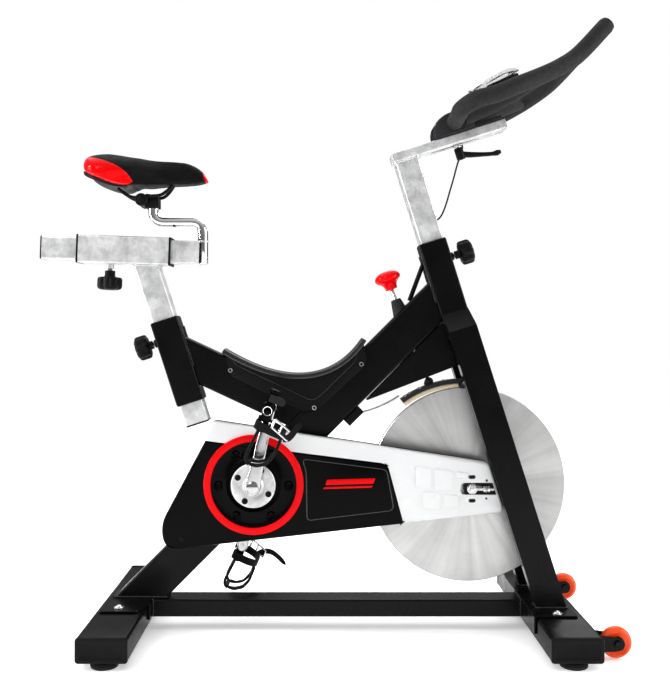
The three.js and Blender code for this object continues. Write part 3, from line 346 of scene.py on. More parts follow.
def finished(name, work, materials, body, stands_for, bevel, sharp):
    """Bevels, shades and registers a piece from its bmesh, which is in metres in the row frame."""
    bmesh.ops.remove_doubles(work, verts=work.verts, dist=WELDED)
    bmesh.ops.recalc_face_normals(work, faces=work.faces)
    if bevel:
        edges = [e for e in work.edges if len(e.link_faces) == 2 and e.calc_face_angle() > BEVEL_FROM]
        bmesh.ops.bevel(work, geom=edges, offset=bevel * MM, segments=BEVEL_STEPS,
                        profile=0.5, affect="EDGES", clamp_overlap=True)
    for face in work.faces:
        face.smooth = True
    mesh = bpy.data.meshes.new(name)
    work.to_mesh(mesh)
    work.free()
    mesh.set_sharp_from_angle(angle=math.radians(sharp))
    made = bpy.data.objects.new(name, mesh)
    bpy.context.scene.collection.objects.link(made)
    materials = materials if isinstance(materials, (list, tuple)) else [materials]
    for material in materials:
        mesh.materials.append(material)
    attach(made, body)
    if stands_for:
        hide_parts(*stands_for)
    return made


def piece(name, form, materials, body, stands_for=(), bevel=0.0, sharp=42):
    work = bmesh.new()
    corners = [work.verts.new(MADE @ p) for p in form.points]
    for indices, mark in zip(form.faces, form.marks):
        face = work.faces.new([corners[i] for i in indices])
        face.material_index = mark
    return finished(name, work, materials, body, stands_for, bevel, sharp)


def refined(node, material, bevel):
    """A CAD part with its flat faces made whole and its edges eased."""
    source = frame["nodes"][node]
    work = bmesh.new()
    work.from_mesh(source.data)
    for face in work.faces:
        face.material_index = 0
    bmesh.ops.remove_doubles(work, verts=work.verts, dist=WELDED)
    bmesh.ops.dissolve_limit(work, angle_limit=math.radians(1), verts=work.verts, edges=work.edges)
    made = finished(f"{node}_fine", work, material, source["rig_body"], (node,), bevel, 50)
    made.modifiers.new("even_normals", "WEIGHTED_NORMAL").keep_sharp = True


# ------------------------------------------------------------------ materials
class Look:
    """A procedural material: a shader with colour, roughness and bump worked out in nodes."""

    def __init__(self, name, slot, colour, rough, metal=0.0, **settings):
        self.material = bpy.data.materials.new(name)
        self.material.use_nodes = True
        self.material["slot"] = slot
        self.nodes = self.material.node_tree.nodes
        self.links = self.material.node_tree.links
        self.shader = self.nodes["Principled BSDF"]
        self.shader.inputs["Base Color"].default_value = (*colour, 1)
        self.shader.inputs["Roughness"].default_value = rough
        self.shader.inputs["Metallic"].default_value = metal
        for key, value in settings.items():
            self.shader.inputs[key.replace("_", " ")].default_value = value
        self.colour = colour
        self.where = self.nodes.new("ShaderNodeTexCoord").outputs["Object"]
        self.normal = None

    def moved(self, location=(0, 0, 0), scale=(1, 1, 1)):
        mapping = self.nodes.new("ShaderNodeMapping")
        mapping.vector_type = "TEXTURE"
        mapping.inputs["Location"].default_value = location
        mapping.inputs["Scale"].default_value = scale
        self.links.new(self.where, mapping.inputs["Vector"])
        return mapping.outputs["Vector"]

    def noise(self, scale, detail=2.0, where=None, rough=0.5):
        node = self.nodes.new("ShaderNodeTexNoise")
        node.inputs["Scale"].default_value = scale
        node.inputs["Detail"].default_value = detail
        node.inputs["Roughness"].default_value = rough
        self.links.new(where or self.where, node.inputs["Vector"])
        return node.outputs["Fac"]

    def cells(self, scale):
        node = self.nodes.new("ShaderNodeTexVoronoi")
        node.inputs["Scale"].default_value = scale
        self.links.new(self.where, node.inputs["Vector"])
        return node.outputs["Distance"]

    def span(self, value, low, high, start=0.3, end=0.7):
        """Value between start and end, spread from low to high."""
        node = self.nodes.new("ShaderNodeMapRange")
        for socket, number in (("From Min", start), ("From Max", end), ("To Min", low), ("To Max", high)):
            node.inputs[socket].default_value = number
        self.links.new(value, node.inputs["Value"])
        return node.outputs["Result"]

    def calc(self, kind, a, b):
        """Two sockets or numbers put together by a Math node."""
        node = self.nodes.new("ShaderNodeMath")
        node.operation = kind
        for index, value in enumerate((a, b)):
            if isinstance(value, (int, float)):
                node.inputs[index].default_value = value
            else:
                self.links.new(value, node.inputs[index])
        return node.outputs["Value"]

    def between(self, factor, dark, light):
        """Colours mixed by a factor; either may be a socket."""
        node = self.nodes.new("ShaderNodeMix")
        node.data_type = "RGBA"
        for socket, value in ((node.inputs[6], dark), (node.inputs[7], light)):
            if isinstance(value, tuple):
                socket.default_value = (*value, 1)
            else:
                self.links.new(value, socket)
        self.links.new(factor, node.inputs[0])
        return node.outputs[2]

    def blend(self, a, b, share):
        """Two values added, `a` by its share and `b` by what is left of 1."""
        rest = round(1 - share, 6)
        return self.calc("ADD", self.calc("MULTIPLY", a, share), self.calc("MULTIPLY", b, rest))

    def tint(self, factor, dark, light):
        self.links.new(self.between(factor, dark, light), self.shader.inputs["Base Color"])

    def roughness(self, value):
        self.links.new(value, self.shader.inputs["Roughness"])

    def bump(self, height, depth, strength=1.0):
        """`depth` in millimetres for a height of 1."""
        node = self.nodes.new("ShaderNodeBump")
        node.inputs["Strength"].default_value = strength
        node.inputs["Distance"].default_value = depth * MM
        self.links.new(height, node.inputs["Height"])
        if self.normal:
            self.links.new(self.normal, node.inputs["Normal"])
        self.normal = node.outputs["Normal"]
        self.links.new(self.normal, self.shader.inputs["Normal"])


def shades(colour, amount):
    return [tuple(min(1.0, c * (1 + change)) for c in colour) for change in (-amount, amount)]


def powder_coat():
    look = Look("powder_coat_black", "frame_paint", (0.004, 0.004, 0.0044), 0.26, Specular_IOR_Level=0.2)
    look.tint(look.noise(9, 3), (0.003, 0.003, 0.0034), (0.0055, 0.0055, 0.006))
    look.roughness(look.span(look.noise(14, 4), 0.2, 0.32))
    look.bump(look.noise(420, 2), 0.035)
    look.bump(look.noise(38, 2), 0.12, 0.5)
    return look.material


def weld_metal():
    look = Look("painted_weld", "frame_paint", (0.007, 0.007, 0.0075), 0.28, Specular_IOR_Level=0.5)
    look.tint(look.noise(160, 3), (0.004, 0.004, 0.0045), (0.011, 0.011, 0.012))
    look.roughness(look.span(look.noise(90, 3), 0.2, 0.36))
    look.bump(look.noise(900, 3), 0.08)
    return look.material


def satin_silver():
    look = Look("satin_silver_tube", "silver_tube", (0.7, 0.7, 0.705), 0.38, 0.42)
    blotch = look.noise(34, 5, rough=0.62)
    flecks = look.noise(160, 3)
    look.tint(look.span(look.blend(blotch, flecks, 0.8), 0, 1), (0.46, 0.465, 0.47), (0.82, 0.82, 0.825))
    look.roughness(look.span(blotch, 0.28, 0.44))
    look.bump(look.noise(520, 3), 0.03)
    return look.material


def chrome():
    look = Look("polished_chrome", "chrome", (0.86, 0.87, 0.88), 0.05, 1.0)
    look.tint(look.noise(24, 3), (0.8, 0.81, 0.82), (0.9, 0.905, 0.91))
    look.roughness(look.span(look.noise(160, 5), 0.03, 0.1))
    look.bump(look.noise(700, 2), 0.004)
    return look.material


def polished_alloy():
    look = Look("polished_alloy", "chrome", (0.55, 0.55, 0.555), 0.16, 1.0)
    look.tint(look.noise(48, 4), (0.4, 0.4, 0.405), (0.64, 0.64, 0.645))
    look.roughness(look.span(look.noise(300, 4, look.moved(scale=(1, 1, 0.1))), 0.1, 0.26))
    look.bump(look.noise(900, 3), 0.006)
    return look.material


def zinc():
    look = Look("zinc_plate", "chrome", (0.7, 0.7, 0.69), 0.26, 1.0)
    look.tint(look.noise(260, 3), (0.55, 0.55, 0.54), (0.8, 0.8, 0.79))
    look.roughness(look.span(look.noise(420, 3), 0.18, 0.36))
    look.bump(look.noise(1300, 2), 0.012)
    return look.material


def flywheel_steel():
    look = Look("turned_steel", "machined_steel", (0.7, 0.7, 0.695), 0.3, 0.72, Anisotropic=0.7)
    tangent = look.nodes.new("ShaderNodeTangent")
    tangent.direction_type = "RADIAL"
    tangent.axis = "Y"
    look.links.new(tangent.outputs[0], look.shader.inputs["Tangent"])
    haze = look.noise(16, 5, rough=0.6)
    spoke = look.nodes.new("ShaderNodeVectorMath")          # the same all the way out along each radius
    spoke.operation = "NORMALIZE"
    look.links.new(look.moved(MADE @ side(*AXLE), scale=(1, 1000, 1)), spoke.inputs[0])
    # painted reflection: light and dark streaks by angle round the axle stand in for the turned disc's radial
    # sheen; they also set its roughness
    painted_sheen_streaks = look.span(look.noise(2.4, 6, spoke.outputs[0], 0.7), 0, 1, 0.3, 0.72)
    look.tint(look.blend(haze, painted_sheen_streaks, 0.4), (0.36, 0.36, 0.358), (0.76, 0.76, 0.755))
    look.roughness(look.span(painted_sheen_streaks, 0.34, 0.28, 0, 1))
    look.bump(look.noise(700, 2), 0.01)
    return look.material


def steel():
    look = Look("plain_steel", "machined_steel", (0.6, 0.6, 0.59), 0.32, 1.0)
    look.tint(look.noise(120, 4), (0.5, 0.5, 0.49), (0.72, 0.72, 0.71))
    look.roughness(look.span(look.noise(220, 4), 0.24, 0.42))
    look.bump(look.noise(800, 3), 0.015)
    return look.material


def plastic(name, colour, rough, grain=0.05):
    look = Look(name, "black_plastic", colour, rough, Specular_IOR_Level=0.14)
    dark, light = shades(colour, 0.25)
    look.tint(look.noise(30, 3), dark, light)
    look.roughness(look.span(look.noise(70, 3), rough - 0.06, rough + 0.08))
    look.bump(look.cells(900), grain)
    return look.material


def gloss(name, colour, rough, slot, shine=0.4):
    look = Look(name, slot, colour, rough, Specular_IOR_Level=shine)
    dark, light = shades(colour, 0.03)
    look.tint(look.noise(8, 3), dark, light)
    look.roughness(look.span(look.noise(30, 3), rough - 0.03, rough + 0.05))
    look.bump(look.noise(60, 1), 0.012)
    return look.material


def grip_foam():
    look = Look("grip_foam", "grip_foam", (0.021, 0.021, 0.0225), 0.82, Specular_IOR_Level=0.3)
    look.tint(look.noise(220, 4), (0.022, 0.022, 0.0235), (0.036, 0.036, 0.038))
    look.roughness(look.span(look.noise(120, 3), 0.7, 0.92))
    look.bump(look.cells(1500), 0.12)
    return look.material


def rubber(name="black_rubber"):
    look = Look(name, "black_rubber", (0.012, 0.012, 0.012), 0.62, Specular_IOR_Level=0.3)
    look.tint(look.noise(40, 4), (0.008, 0.008, 0.008), (0.02, 0.02, 0.02))
    look.roughness(look.span(look.noise(90, 3), 0.5, 0.75))
    look.bump(look.noise(900, 3), 0.05)
    return look.material


def felt():
    look = Look("wool_felt", "felt", (0.66, 0.55, 0.38), 0.95, Sheen_Weight=0.6, Sheen_Roughness=0.6)
    fibres = look.noise(700, 5, look.moved(scale=(1.0, 0.5, 0.35)), 0.7)
    look.tint(fibres, (0.45, 0.35, 0.21), (0.82, 0.72, 0.54))
    look.roughness(look.span(fibres, 0.88, 1.0))
    look.bump(fibres, 0.5)
    return look.material


def wheel_pu():
    look = Look("clear_orange_wheel", "wheel_pu", (0.95, 0.1, 0.015), 0.14, Transmission_Weight=0.3, IOR=1.45)
    look.tint(look.noise(60, 3), (0.9, 0.055, 0.008), (1.0, 0.16, 0.02))
    look.roughness(look.span(look.noise(160, 3), 0.12, 0.24))
    look.bump(look.noise(260, 2), 0.03)
    return look.material


def screen():
    look = Look("console_screen", "black_plastic", (0.03, 0.033, 0.036), 0.12, Coat_Weight=0.6)
    look.tint(look.noise(25, 2), (0.022, 0.025, 0.028), (0.045, 0.05, 0.052))
    look.roughness(look.span(look.noise(80, 3), 0.08, 0.18))
    look.bump(look.noise(300, 2), 0.01)
    return look.material


LOOKS = dict(
    frame=powder_coat(), weld=weld_metal(), silver=satin_silver(), chrome=chrome(), alloy=polished_alloy(),
    zinc=zinc(), flywheel=flywheel_steel(), steel=steel(),
    plastic=plastic("satin_black_plastic", (0.01, 0.01, 0.0105), 0.4),
    gloss_black=gloss("gloss_black_plastic", (0.002, 0.002, 0.0023), 0.14, "black_plastic", 0.1),
    # lighter than the guard's own black plastic: painted sheen, used on the guard's lip, its rib and the
    # cover's window line
    lip=gloss("lip_plastic_painted_sheen", (0.02, 0.02, 0.021), 0.2, "black_plastic", 0.8),
    soft_grey=plastic("dark_grey_plastic", (0.03, 0.03, 0.032), 0.5, 0.08),
    strap=plastic("strap_webbing", (0.012, 0.012, 0.012), 0.6, 0.2),
    white=gloss("gloss_white", (0.73, 0.735, 0.74), 0.24, "white_cover", 0.3),
    red=gloss("gloss_red", (0.72, 0.001, 0.004), 0.16, "red_gloss", 0.16),
    foam=grip_foam(), rubber=rubber(), felt=felt(), wheel=wheel_pu(), screen=screen(),
)


# ------------------------------------------------------------------ camera, light and floor
# Lens and sensor in millimetres, place in metres.
CAMERA = dict(lens=46.13, sensor=36, shift=(0.0243, -0.0357), place=(-0.0102, -1.962, 0.659))


def camera():
    data = bpy.data.cameras.new("photo_camera")
    data.lens = CAMERA["lens"]
    data.sensor_width = CAMERA["sensor"]
    data.shift_x, data.shift_y = CAMERA["shift"]
    data.clip_end = 60
    made = bpy.data.objects.new("photo_camera", data)
    made.location = CAMERA["place"]
    made.rotation_euler = (math.pi / 2, 0, 0)
    bpy.context.scene.collection.objects.link(made)
    bpy.context.scene.camera = made


def softbox(name, place, target, width, height, power):
    data = bpy.data.lights.new(name, "AREA")
    data.shape = "RECTANGLE"
    data.size, data.size_y = width, height
    data.energy = power
    made = bpy.data.objects.new(name, data)
    made.location = place
    made.rotation_euler = (Vector(target) - Vector(place)).to_track_quat("-Z", "Y").to_euler()
    bpy.context.scene.collection.objects.link(made)


def studio():
    """White surroundings to the eye; dimmer, brighter overhead, in what the bike reflects."""
    world = bpy.data.worlds.new("studio")
    world.use_nodes = True
    nodes, links = world.node_tree.nodes, world.node_tree.links
    seen = nodes["Background"]
    seen.inputs["Color"].default_value = (1, 1, 1, 1)
    seen.inputs["Strength"].default_value = 1.0
    split = nodes.new("ShaderNodeSeparateXYZ")
    links.new(nodes.new("ShaderNodeTexCoord").outputs["Generated"], split.inputs[0])
    height = nodes.new("ShaderNodeMapRange")
    for socket, number in (("From Min", 0.0), ("From Max", 0.8), ("To Min", 0.26), ("To Max", 0.85)):
        height.inputs[socket].default_value = number
    links.new(split.outputs[2], height.inputs["Value"])
    lit = nodes.new("ShaderNodeBackground")
    links.new(height.outputs["Result"], lit.inputs["Strength"])
    mix = nodes.new("ShaderNodeMixShader")
    links.new(nodes.new("ShaderNodeLightPath").outputs["Is Camera Ray"], mix.inputs[0])
    links.new(lit.outputs[0], mix.inputs[1])
    links.new(seen.outputs[0], mix.inputs[2])
    links.new(mix.outputs[0], nodes["World Output"].inputs["Surface"])
    bpy.context.scene.world = world
    bpy.context.scene.view_settings.view_transform = "Standard"
    bpy.context.scene.view_settings.gamma = 0.84          # deep blacks beside bright metal
    middle = (0, 0, 0.6)
    softbox("key", (-1.7, -2.4, 2.5), middle, 1.0, 1.4, 26)
    softbox("fill", (2.6, -1.6, 1.3), middle, 0.8, 1.8, 12)
    softbox("overhead", (0, 2.4, 5.5), (0, 2.4, 0), 8, 7, 250)
    softbox("left_strip", (-3.2, -0.5, 1.3), middle, 0.25, 2.4, 90)
    softbox("right_strip", (3.2, -0.5, 1.3), middle, 0.25, 2.4, 60)
    softbox("back", (0.8, 2.4, 2.0), middle, 2.0, 1.4, 14)


def floor():
    """Plain pale ground, a wide disc round the bike."""
    work = bmesh.new()
    bmesh.ops.create_circle(work, cap_ends=True, radius=5.5, segments=96)
    mesh = bpy.data.meshes.new("studio_floor")
    work.to_mesh(mesh)
    work.free()
    made = bpy.data.objects.new("studio_floor", mesh)
    bpy.context.scene.collection.objects.link(made)
    look = Look("studio_paper", "frame_paint", (0.93, 0.93, 0.93), 0.85, Emission_Color=(1, 1, 1, 1),
                Emission_Strength=0.36)
    look.tint(look.noise(3, 2), (0.92, 0.92, 0.92), (0.94, 0.94, 0.94))
    look.bump(look.noise(120, 2), 0.05)
    mesh.materials.append(look.material)


# ------------------------------------------------------------------ console lead
CABLE_Y = 16
CABLE_ROUTE = [          # head tube's frame, from inside the rail down into the post
    (131.5, 192), (131.5, 183), (124, 169), (111, 152), (102, 138), (92, 122), (76, 98), (58, 71),
    (43, 53), (33, 46.5), (20, 45),
]


def console_lead():
    route = smooth_path([HEAD_FRAME @ side(x, z, CABLE_Y) for x, z in CABLE_ROUTE], 3)
    route = [MADE @ p for p in route]
    data = bpy.data.curves.new("console_lead", "CURVE")
    data.dimensions = "3D"
    data.bevel_depth = CABLE_RADIUS * MM
    data.bevel_resolution = 5
    data.use_fill_caps = True
    spline = data.splines.new("POLY")
    spline.points.add(len(route) - 1)
    for point, place in zip(spline.points, route):
        point.co = (*place, 1)
    spline.use_smooth = True
    made = bpy.data.objects.new("console_lead", data)
    bpy.context.scene.collection.objects.link(made)
    data.materials.append(rubber("cable_jacket"))
    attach(made, "handlebar_post")
    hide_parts("console_cable")


camera()
console_lead()
studio()
floor()


# ------------------------------------------------------------------ welds
def weld_bead(form, corners, radius=2.6, closed=False):
    """Rippled fillet of weld along a polyline."""
    corners = [Vector(p) for p in corners]
    path = evenly(corners + corners[:1] if closed else corners, 1.3)
    count = len(path) - 1

    def ripple(t):
        k = t * count
        return 1 + 0.16 * math.sin(k * 1.9) + 0.06 * math.sin(k * 0.37)

    sweep(form, path, circle(radius, 8), grow=ripple)


# ------------------------------------------------------------------ base
def stabilizer(name, x):
    s = STABILIZER
    place = basis(side(x, s["z"]), LEFT, UP)
    tube, caps = Form(place), Form(place)
    inner = s["half"] - s["cap"]
    outline = rectangle(s["width"], s["height"], s["corner"])
    tiers(tube, [(-inner, outline), (inner, outline)])
    piece(f"{name}_tube", tube, LOOKS["frame"], "frame", (name,), bevel=0.6)
    lip = rectangle(s["width"] + 1, s["height"] + 1, s["corner"])
    inset = rectangle(s["width"] - 1.6, s["height"] - 1.6, s["corner"])
    face = rectangle(s["width"] - 16, s["height"] - 16, 3)
    for end in (-1, 1):
        levels = ((0.2, inset), (1.2, inset), (1.2, lip), (5.6, lip), (7, inset), (7, face), (6.2, face))
        tiers(caps, [(end * (inner + d), ring) for d, ring in levels])
    piece(f"{name}_end_caps", caps, LOOKS["plastic"], "frame", bevel=0.7)


def plates():
    refined("rear_plate", LOOKS["frame"], 1.2)
    refined("front_plate", LOOKS["frame"], 1.2)
    refined("bottom_tube", LOOKS["frame"], 0.8)
    bolts = Form()
    for x, y in ((-416, 88), (489, 127)):
        for s in SIDES.values():
            bolt(bolts, side(x, PLATE_TOP - 0.3, s * y), UP, 7.5)
    piece("stabilizer_bolts", bolts, LOOKS["zinc"], "frame", bevel=0.3)
    beads = Form()
    low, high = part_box("bottom_tube")
    for x in (low.x / MM - DATUM_X + 1.5, high.x / MM - DATUM_X - 1.5):
        weld_bead(beads, [side(x, 34, -31), side(x, 67.5, -31), side(x, 67.5, 31), side(x, 34, 31)], 2.2)
    piece("bottom_tube_welds", beads, LOOKS["weld"], "frame", sharp=70)


def foot(hand, end, x):
    name = f"foot_{end}_{hand}"
    y = SIDES[hand] * FOOT_Y
    form = Form()
    profile = [(0, 0), (24.5, 0), (26.4, 1.2), (27, 3), (27, 7), (25.4, 8.2), (25.4, 9.4), (26.2, 10),
               (24, 13.4), (21, 15.4), (0, 15.4)]
    lathe(form, profile, side(x, 0, y), UP, 64,
          wobble=lambda a, h: 0.35 * math.cos(32 * a) if 2 < h < 8 else 0)
    piece(f"{name}_pad", form, LOOKS["rubber"], name, (name,), sharp=50)


def transport_wheel(hand):
    w, y = WHEEL, SIDES[hand] * WHEEL["y"]
    name = f"transport_wheel_{hand}"
    half, r = w["width"] / 2, w["radius"]
    tyre, hub = Form(), Form()
    rim = [(r - 2.2, -half + 4.5), (r - 0.6, -half + 7), (r, 0), (r - 0.6, half - 7), (r - 2.2, half - 4.5)]
    profile = [(14, -half + 2), (r - 11, -half + 1.6), (r - 9, -half), (r - 5.5, -half + 0.4), *rim,
               (r - 5.5, half - 0.4), (r - 9, half), (r - 11, half - 1.6), (14, half - 2), (14, -half + 2)]
    lathe(tyre, profile, side(w["x"], w["z"], y), LEFT, 72)
    piece(f"{name}_tyre", tyre, LOOKS["wheel"], f"wheel_{hand}", (name,), sharp=60)
    profile = [(5.5, -half), (9, -half), (10, -half + 2), (13.7, -half + 3), (13.7, half - 3), (10, half - 2),
               (9, half), (5.5, half), (5.5, -half)]
    lathe(hub, profile, side(w["x"], w["z"], y), LEFT, 48)
    piece(f"{name}_hub", hub, LOOKS["plastic"], f"wheel_{hand}", bevel=0.4)


def wheel_bolts():
    form = Form()
    w = WHEEL
    for s in SIDES.values():
        for out in (-1, 1):
            y = s * w["y"] + out * (w["width"] / 2 + 4.6)
            bolt(form, side(w["x"], w["z"], y), LEFT * out, 5.2)
    piece("wheel_bolts", form, LOOKS["zinc"], "frame", bevel=0.3)
    for hand in SIDES:
        refined(f"wheel_bracket_{hand}", LOOKS["frame"], 0.7)


def base():
    stabilizer("rear_stabilizer", REAR_X)
    stabilizer("front_stabilizer", FRONT_X)
    plates()
    for hand in SIDES:
        foot(hand, "rear", REAR_X)
        foot(hand, "front", FRONT_X)
        transport_wheel(hand)
    wheel_bolts()


# ------------------------------------------------------------------ frame
def frame_tubes():
    for node in ("main_beam", "seat_beam", "seat_sleeve", "head_tube", "gusset_box"):
        refined(node, LOOKS["frame"], 0.9)
    for hand in SIDES:
        refined(f"fork_leg_{hand}", LOOKS["frame"], 3)
    beads = Form()
    foot_x = PLATE_TOP - BEAM["axis_z"]
    half = BEAM["depth"] / math.sqrt(2)
    rear, front, wide = foot_x - half, foot_x + half, BEAM["width"] / 2 + 1
    ground = PLATE_TOP + 1
    weld_bead(beads, [side(rear, ground, -wide), side(front, ground, -wide), side(front, ground, wide),
                      side(rear, ground, wide)], 3, closed=True)
    for s in SIDES.values():
        for place, out, start, end in ((HEAD_FRAME, -1, -20, -128), (SEAT_FRAME, 1, -22, -112)):
            face, up = place @ side(out * SLEEVE / 2, 0), place.to_3x3() @ UP
            weld_bead(beads, [face + up * start + LEFT * s * wide, face + up * end + LEFT * s * wide], 2.8)
        slope = (LEG["bottom"] - LEG["top"]) / (LEG["foot"] - LEG["elbow"])
        run = HEAD_FRAME.to_3x3() @ UP
        outer = LEG["top"] + slope * (812 - LEG["elbow"])
        ends = [HEAD_FRAME @ side(x, -805) for x in (-LEG["depth"] / 2, LEG["depth"] / 2)]
        rear_foot, front_foot = (end - run * ((end.z - ground) / run.z) for end in ends)
        near, far = s * (outer - LEG["width"] - 1), s * (outer + 1)
        weld_bead(beads, [rear_foot + LEFT * near, front_foot + LEFT * near, front_foot + LEFT * far,
                          rear_foot + LEFT * far], 3, closed=True)
    piece("frame_welds", beads, LOOKS["weld"], "frame", sharp=70)


def sleeve_rims():
    """Plastic inserts showing at the open ends of the two square sleeves."""
    form = Form()
    for place, low in ((HEAD_FRAME, -HEAD["length"]), (SEAT_FRAME, -SEAT["length"])):
        for z0, z1 in ((0.3, 2.4), (low - 2.4, low - 0.3)):
            rim_insert(form, place, z0, z1, SLEEVE - 2, POST + 1)
    piece("sleeve_inserts", form, LOOKS["plastic"], "frame", bevel=0.4)


GUARD_SCREWS = [(-189.3, 561), (-8.2, 480.3), (93.8, 574.4)]


def sweat_guard():
    """Moulded guard: its skirt, a rolled lip along the top and a raised rib on each side."""
    skirt, thick = 26.0, 5.0
    top = [(-203, 607), (-60, 520), (40, 545), (96.5, 630.5)]

    def on_top(t):
        w = ((1 - t) ** 3, 3 * t * (1 - t) ** 2, 3 * t * t * (1 - t), t ** 3)
        return (sum(k * p[0] for k, p in zip(w, top)), sum(k * p[1] for k, p in zip(w, top)))

    curve = [on_top(i / 40) for i in range(41)]
    edge = rounded([(107, 591, 3), (100, 569, 6), (6, 482, 16), (-17, 466, 14), (-40, 476, 16),
                    (-188, 549, 8), (-200, 594, 4)], 5)
    form = Form()
    for s in SIDES.values():
        near, far = sorted((s * (skirt - thick), s * skirt))
        prism(form, list(reversed(curve)) + list(reversed(edge)), near, far)
    piece("sweat_guard_sides", form, LOOKS["plastic"], "frame", ("sweat_guard",), bevel=0.8)

    lip = Form()
    wide = skirt + 3.4
    section = rounded([(wide, -11, 3), (wide, 1, 4.5), (-wide, 1, 4.5), (-wide, -11, 3),
                       (-skirt + 1, -11, 1), (-skirt + 1, -5, 2), (skirt - 1, -5, 2), (skirt - 1, -11, 1)], 4)
    rings = []
    for i in range(49):
        t = i / 48
        x, z = on_top(t)
        ax, az = on_top(min(1, t + 0.01))
        bx, bz = on_top(max(0, t - 0.01))
        normal = side(bz - az, ax - bx).normalized()
        tip = max(0.0, 1 - min(t, 1 - t) * 14)
        rings.append([side(x, z) + LEFT * u * (1 - 0.05 * tip) + normal * v * (1 - 0.1 * tip)
                      for u, v in section])
    stack(lip, rings)
    # the lip's lighter plastic is painted sheen
    piece("sweat_guard_lip", lip, LOOKS["lip"], "frame", bevel=0.5, sharp=55)

    rib = Form()
    for s in SIDES.values():
        y = s * (skirt + 0.2)
        line = [(-183, 588), (-180, 574.4), (-27.6, 502.3), (-11.9, 496.5), (3.7, 505.3), (80.7, 580.7),
                (83, 598)]
        path = filleted([side(x, z, y) for x, z in line], 8, 5)
        sweep(rib, evenly(path, 5), rectangle(1.6, 2.2, 0.5, 2), up=(0, s, 0))
    # the rib's lighter plastic is painted sheen
    piece("sweat_guard_rib", rib, LOOKS["lip"], "frame", sharp=50)

    screws = Form()
    for s in SIDES.values():
        for x, z in GUARD_SCREWS:
            at, out = side(x, z, s * skirt), LEFT * s
            rim = [(2.2, -1.5), (2.2, 0.2), (3.0, 1.4), (4.6, 1.4), (5.4, 0.2), (5.4, -1.5), (2.2, -1.5)]
            lathe(screws, rim, at, out, 28)
            lathe(screws, [(0, 0), (2.3, 0), (2.3, -1.2), (0, -1.2)], at, out, 20, 1)
    piece("sweat_guard_screws", screws, [LOOKS["zinc"], LOOKS["plastic"]], "frame", sharp=50)


def frame_parts():
    frame_tubes()
    sleeve_rims()
    sweat_guard()


base()
frame_parts()


# ------------------------------------------------------------------ belt cover
COVER_OUTLINE = [        # x, z and corner radius
    (-326, 183.2, 33), (390, 263.4, 5), (390.5, 276, 4), (361.5, 367, 8), (-227, 456.2, 12),
    (-232, 428, 15), (-331, 240, 22),
]
BLACK_PANEL = [          # the cover's black moulding, which takes in its rear and lower edges
    (-326, 182.8, 33), (176, 239, 5), (181.5, 243.5, 6), (150, 361, 7), (139, 369, 8), (-237, 416.4, 3),
    (-331.4, 240, 22),
]
WINDOW = [(-23, 247, 9), (160, 268.5, 12), (145, 354, 10), (-34, 377, 12), (-25, 352, 10)]
SLOT = [(300, 301, 12), (386, 301, 2), (377, 326, 2), (300, 326, 12)]
EMBOSSED = [             # the cover's raised tiles, corner by corner
    [(206, 361), (238, 357), (238, 313), (206, 317)], [(246, 356), (284, 351), (284, 309), (246, 312)],
    [(221, 308), (257, 304), (257, 269), (221, 272)], [(265, 303), (297, 299), (297, 275), (265, 277)],
    [(292, 350), (318, 347), (316, 334), (292, 337)],
]


def widened(outline, distance):
    """Outline moved outwards (inwards if negative) by `distance`."""
    points = [Vector(p) for p in outline]
    area = sum(a.x * b.y - b.x * a.y for a, b in zip(points, points[1:] + points[:1]))
    hand = 1 if area > 0 else -1
    made = []
    for index, point in enumerate(points):
        into = (point - points[index - 1])
        out = (points[(index + 1) % len(points)] - point)
        if into.length < 1e-6 or out.length < 1e-6:
            into = out if into.length < 1e-6 else into
            out = into
        normal = Vector((into.normalized().y + out.normalized().y, -into.normalized().x - out.normalized().x))
        if normal.length < 1e-6:
            normal = Vector((into.y, -into.x))
        made.append(tuple(point + normal.normalized() * distance * hand))
    return made


def slab(form, outline, steps):
    """Outline of the side view through (y, how far it is widened) steps."""
    stack(form, [[side(x, z, y) for x, z in widened(outline, d)] for y, d in steps])


def faces_with_holes(form, outer, holes, y):
    """Flat face of the side view with holes in it, joined by a constrained triangulation."""
    loops = [outer, *holes]
    points = [Vector(p) for loop in loops for p in loop]
    edges, first = [], 0
    for loop in loops:
        n = len(loop)
        edges += [(first + i, first + (i + 1) % n) for i in range(n)]
        first += n
    places, _, faces, *_ = delaunay_2d_cdt(points, edges, [], 1, 1e-5)
    kept = []
    for face in faces:
        middle = sum((places[i] for i in face), Vector((0, 0))) / len(face)
        if not any(inside(middle, hole) for hole in holes):
            kept.append(face)
    form.add([side(p.x, p.y, y) for p in places], kept)


def inside(point, outline):
    crossings = 0
    for (x0, z0), (x1, z1) in zip(outline, outline[1:] + outline[:1]):
        if (z0 > point.y) != (z1 > point.y):
            crossings += point.x < x0 + (point.y - z0) * (x1 - x0) / (z1 - z0)
    return crossings % 2 == 1


def wall(form, outline, y0, y1):
    """Only the sides of a prism."""
    prism(form, outline, y0, y1, holes=True)


def ring_outline(centre, radius, sides=96):
    return [(centre[0] + x, centre[1] + z) for x, z in circle(radius, sides)]


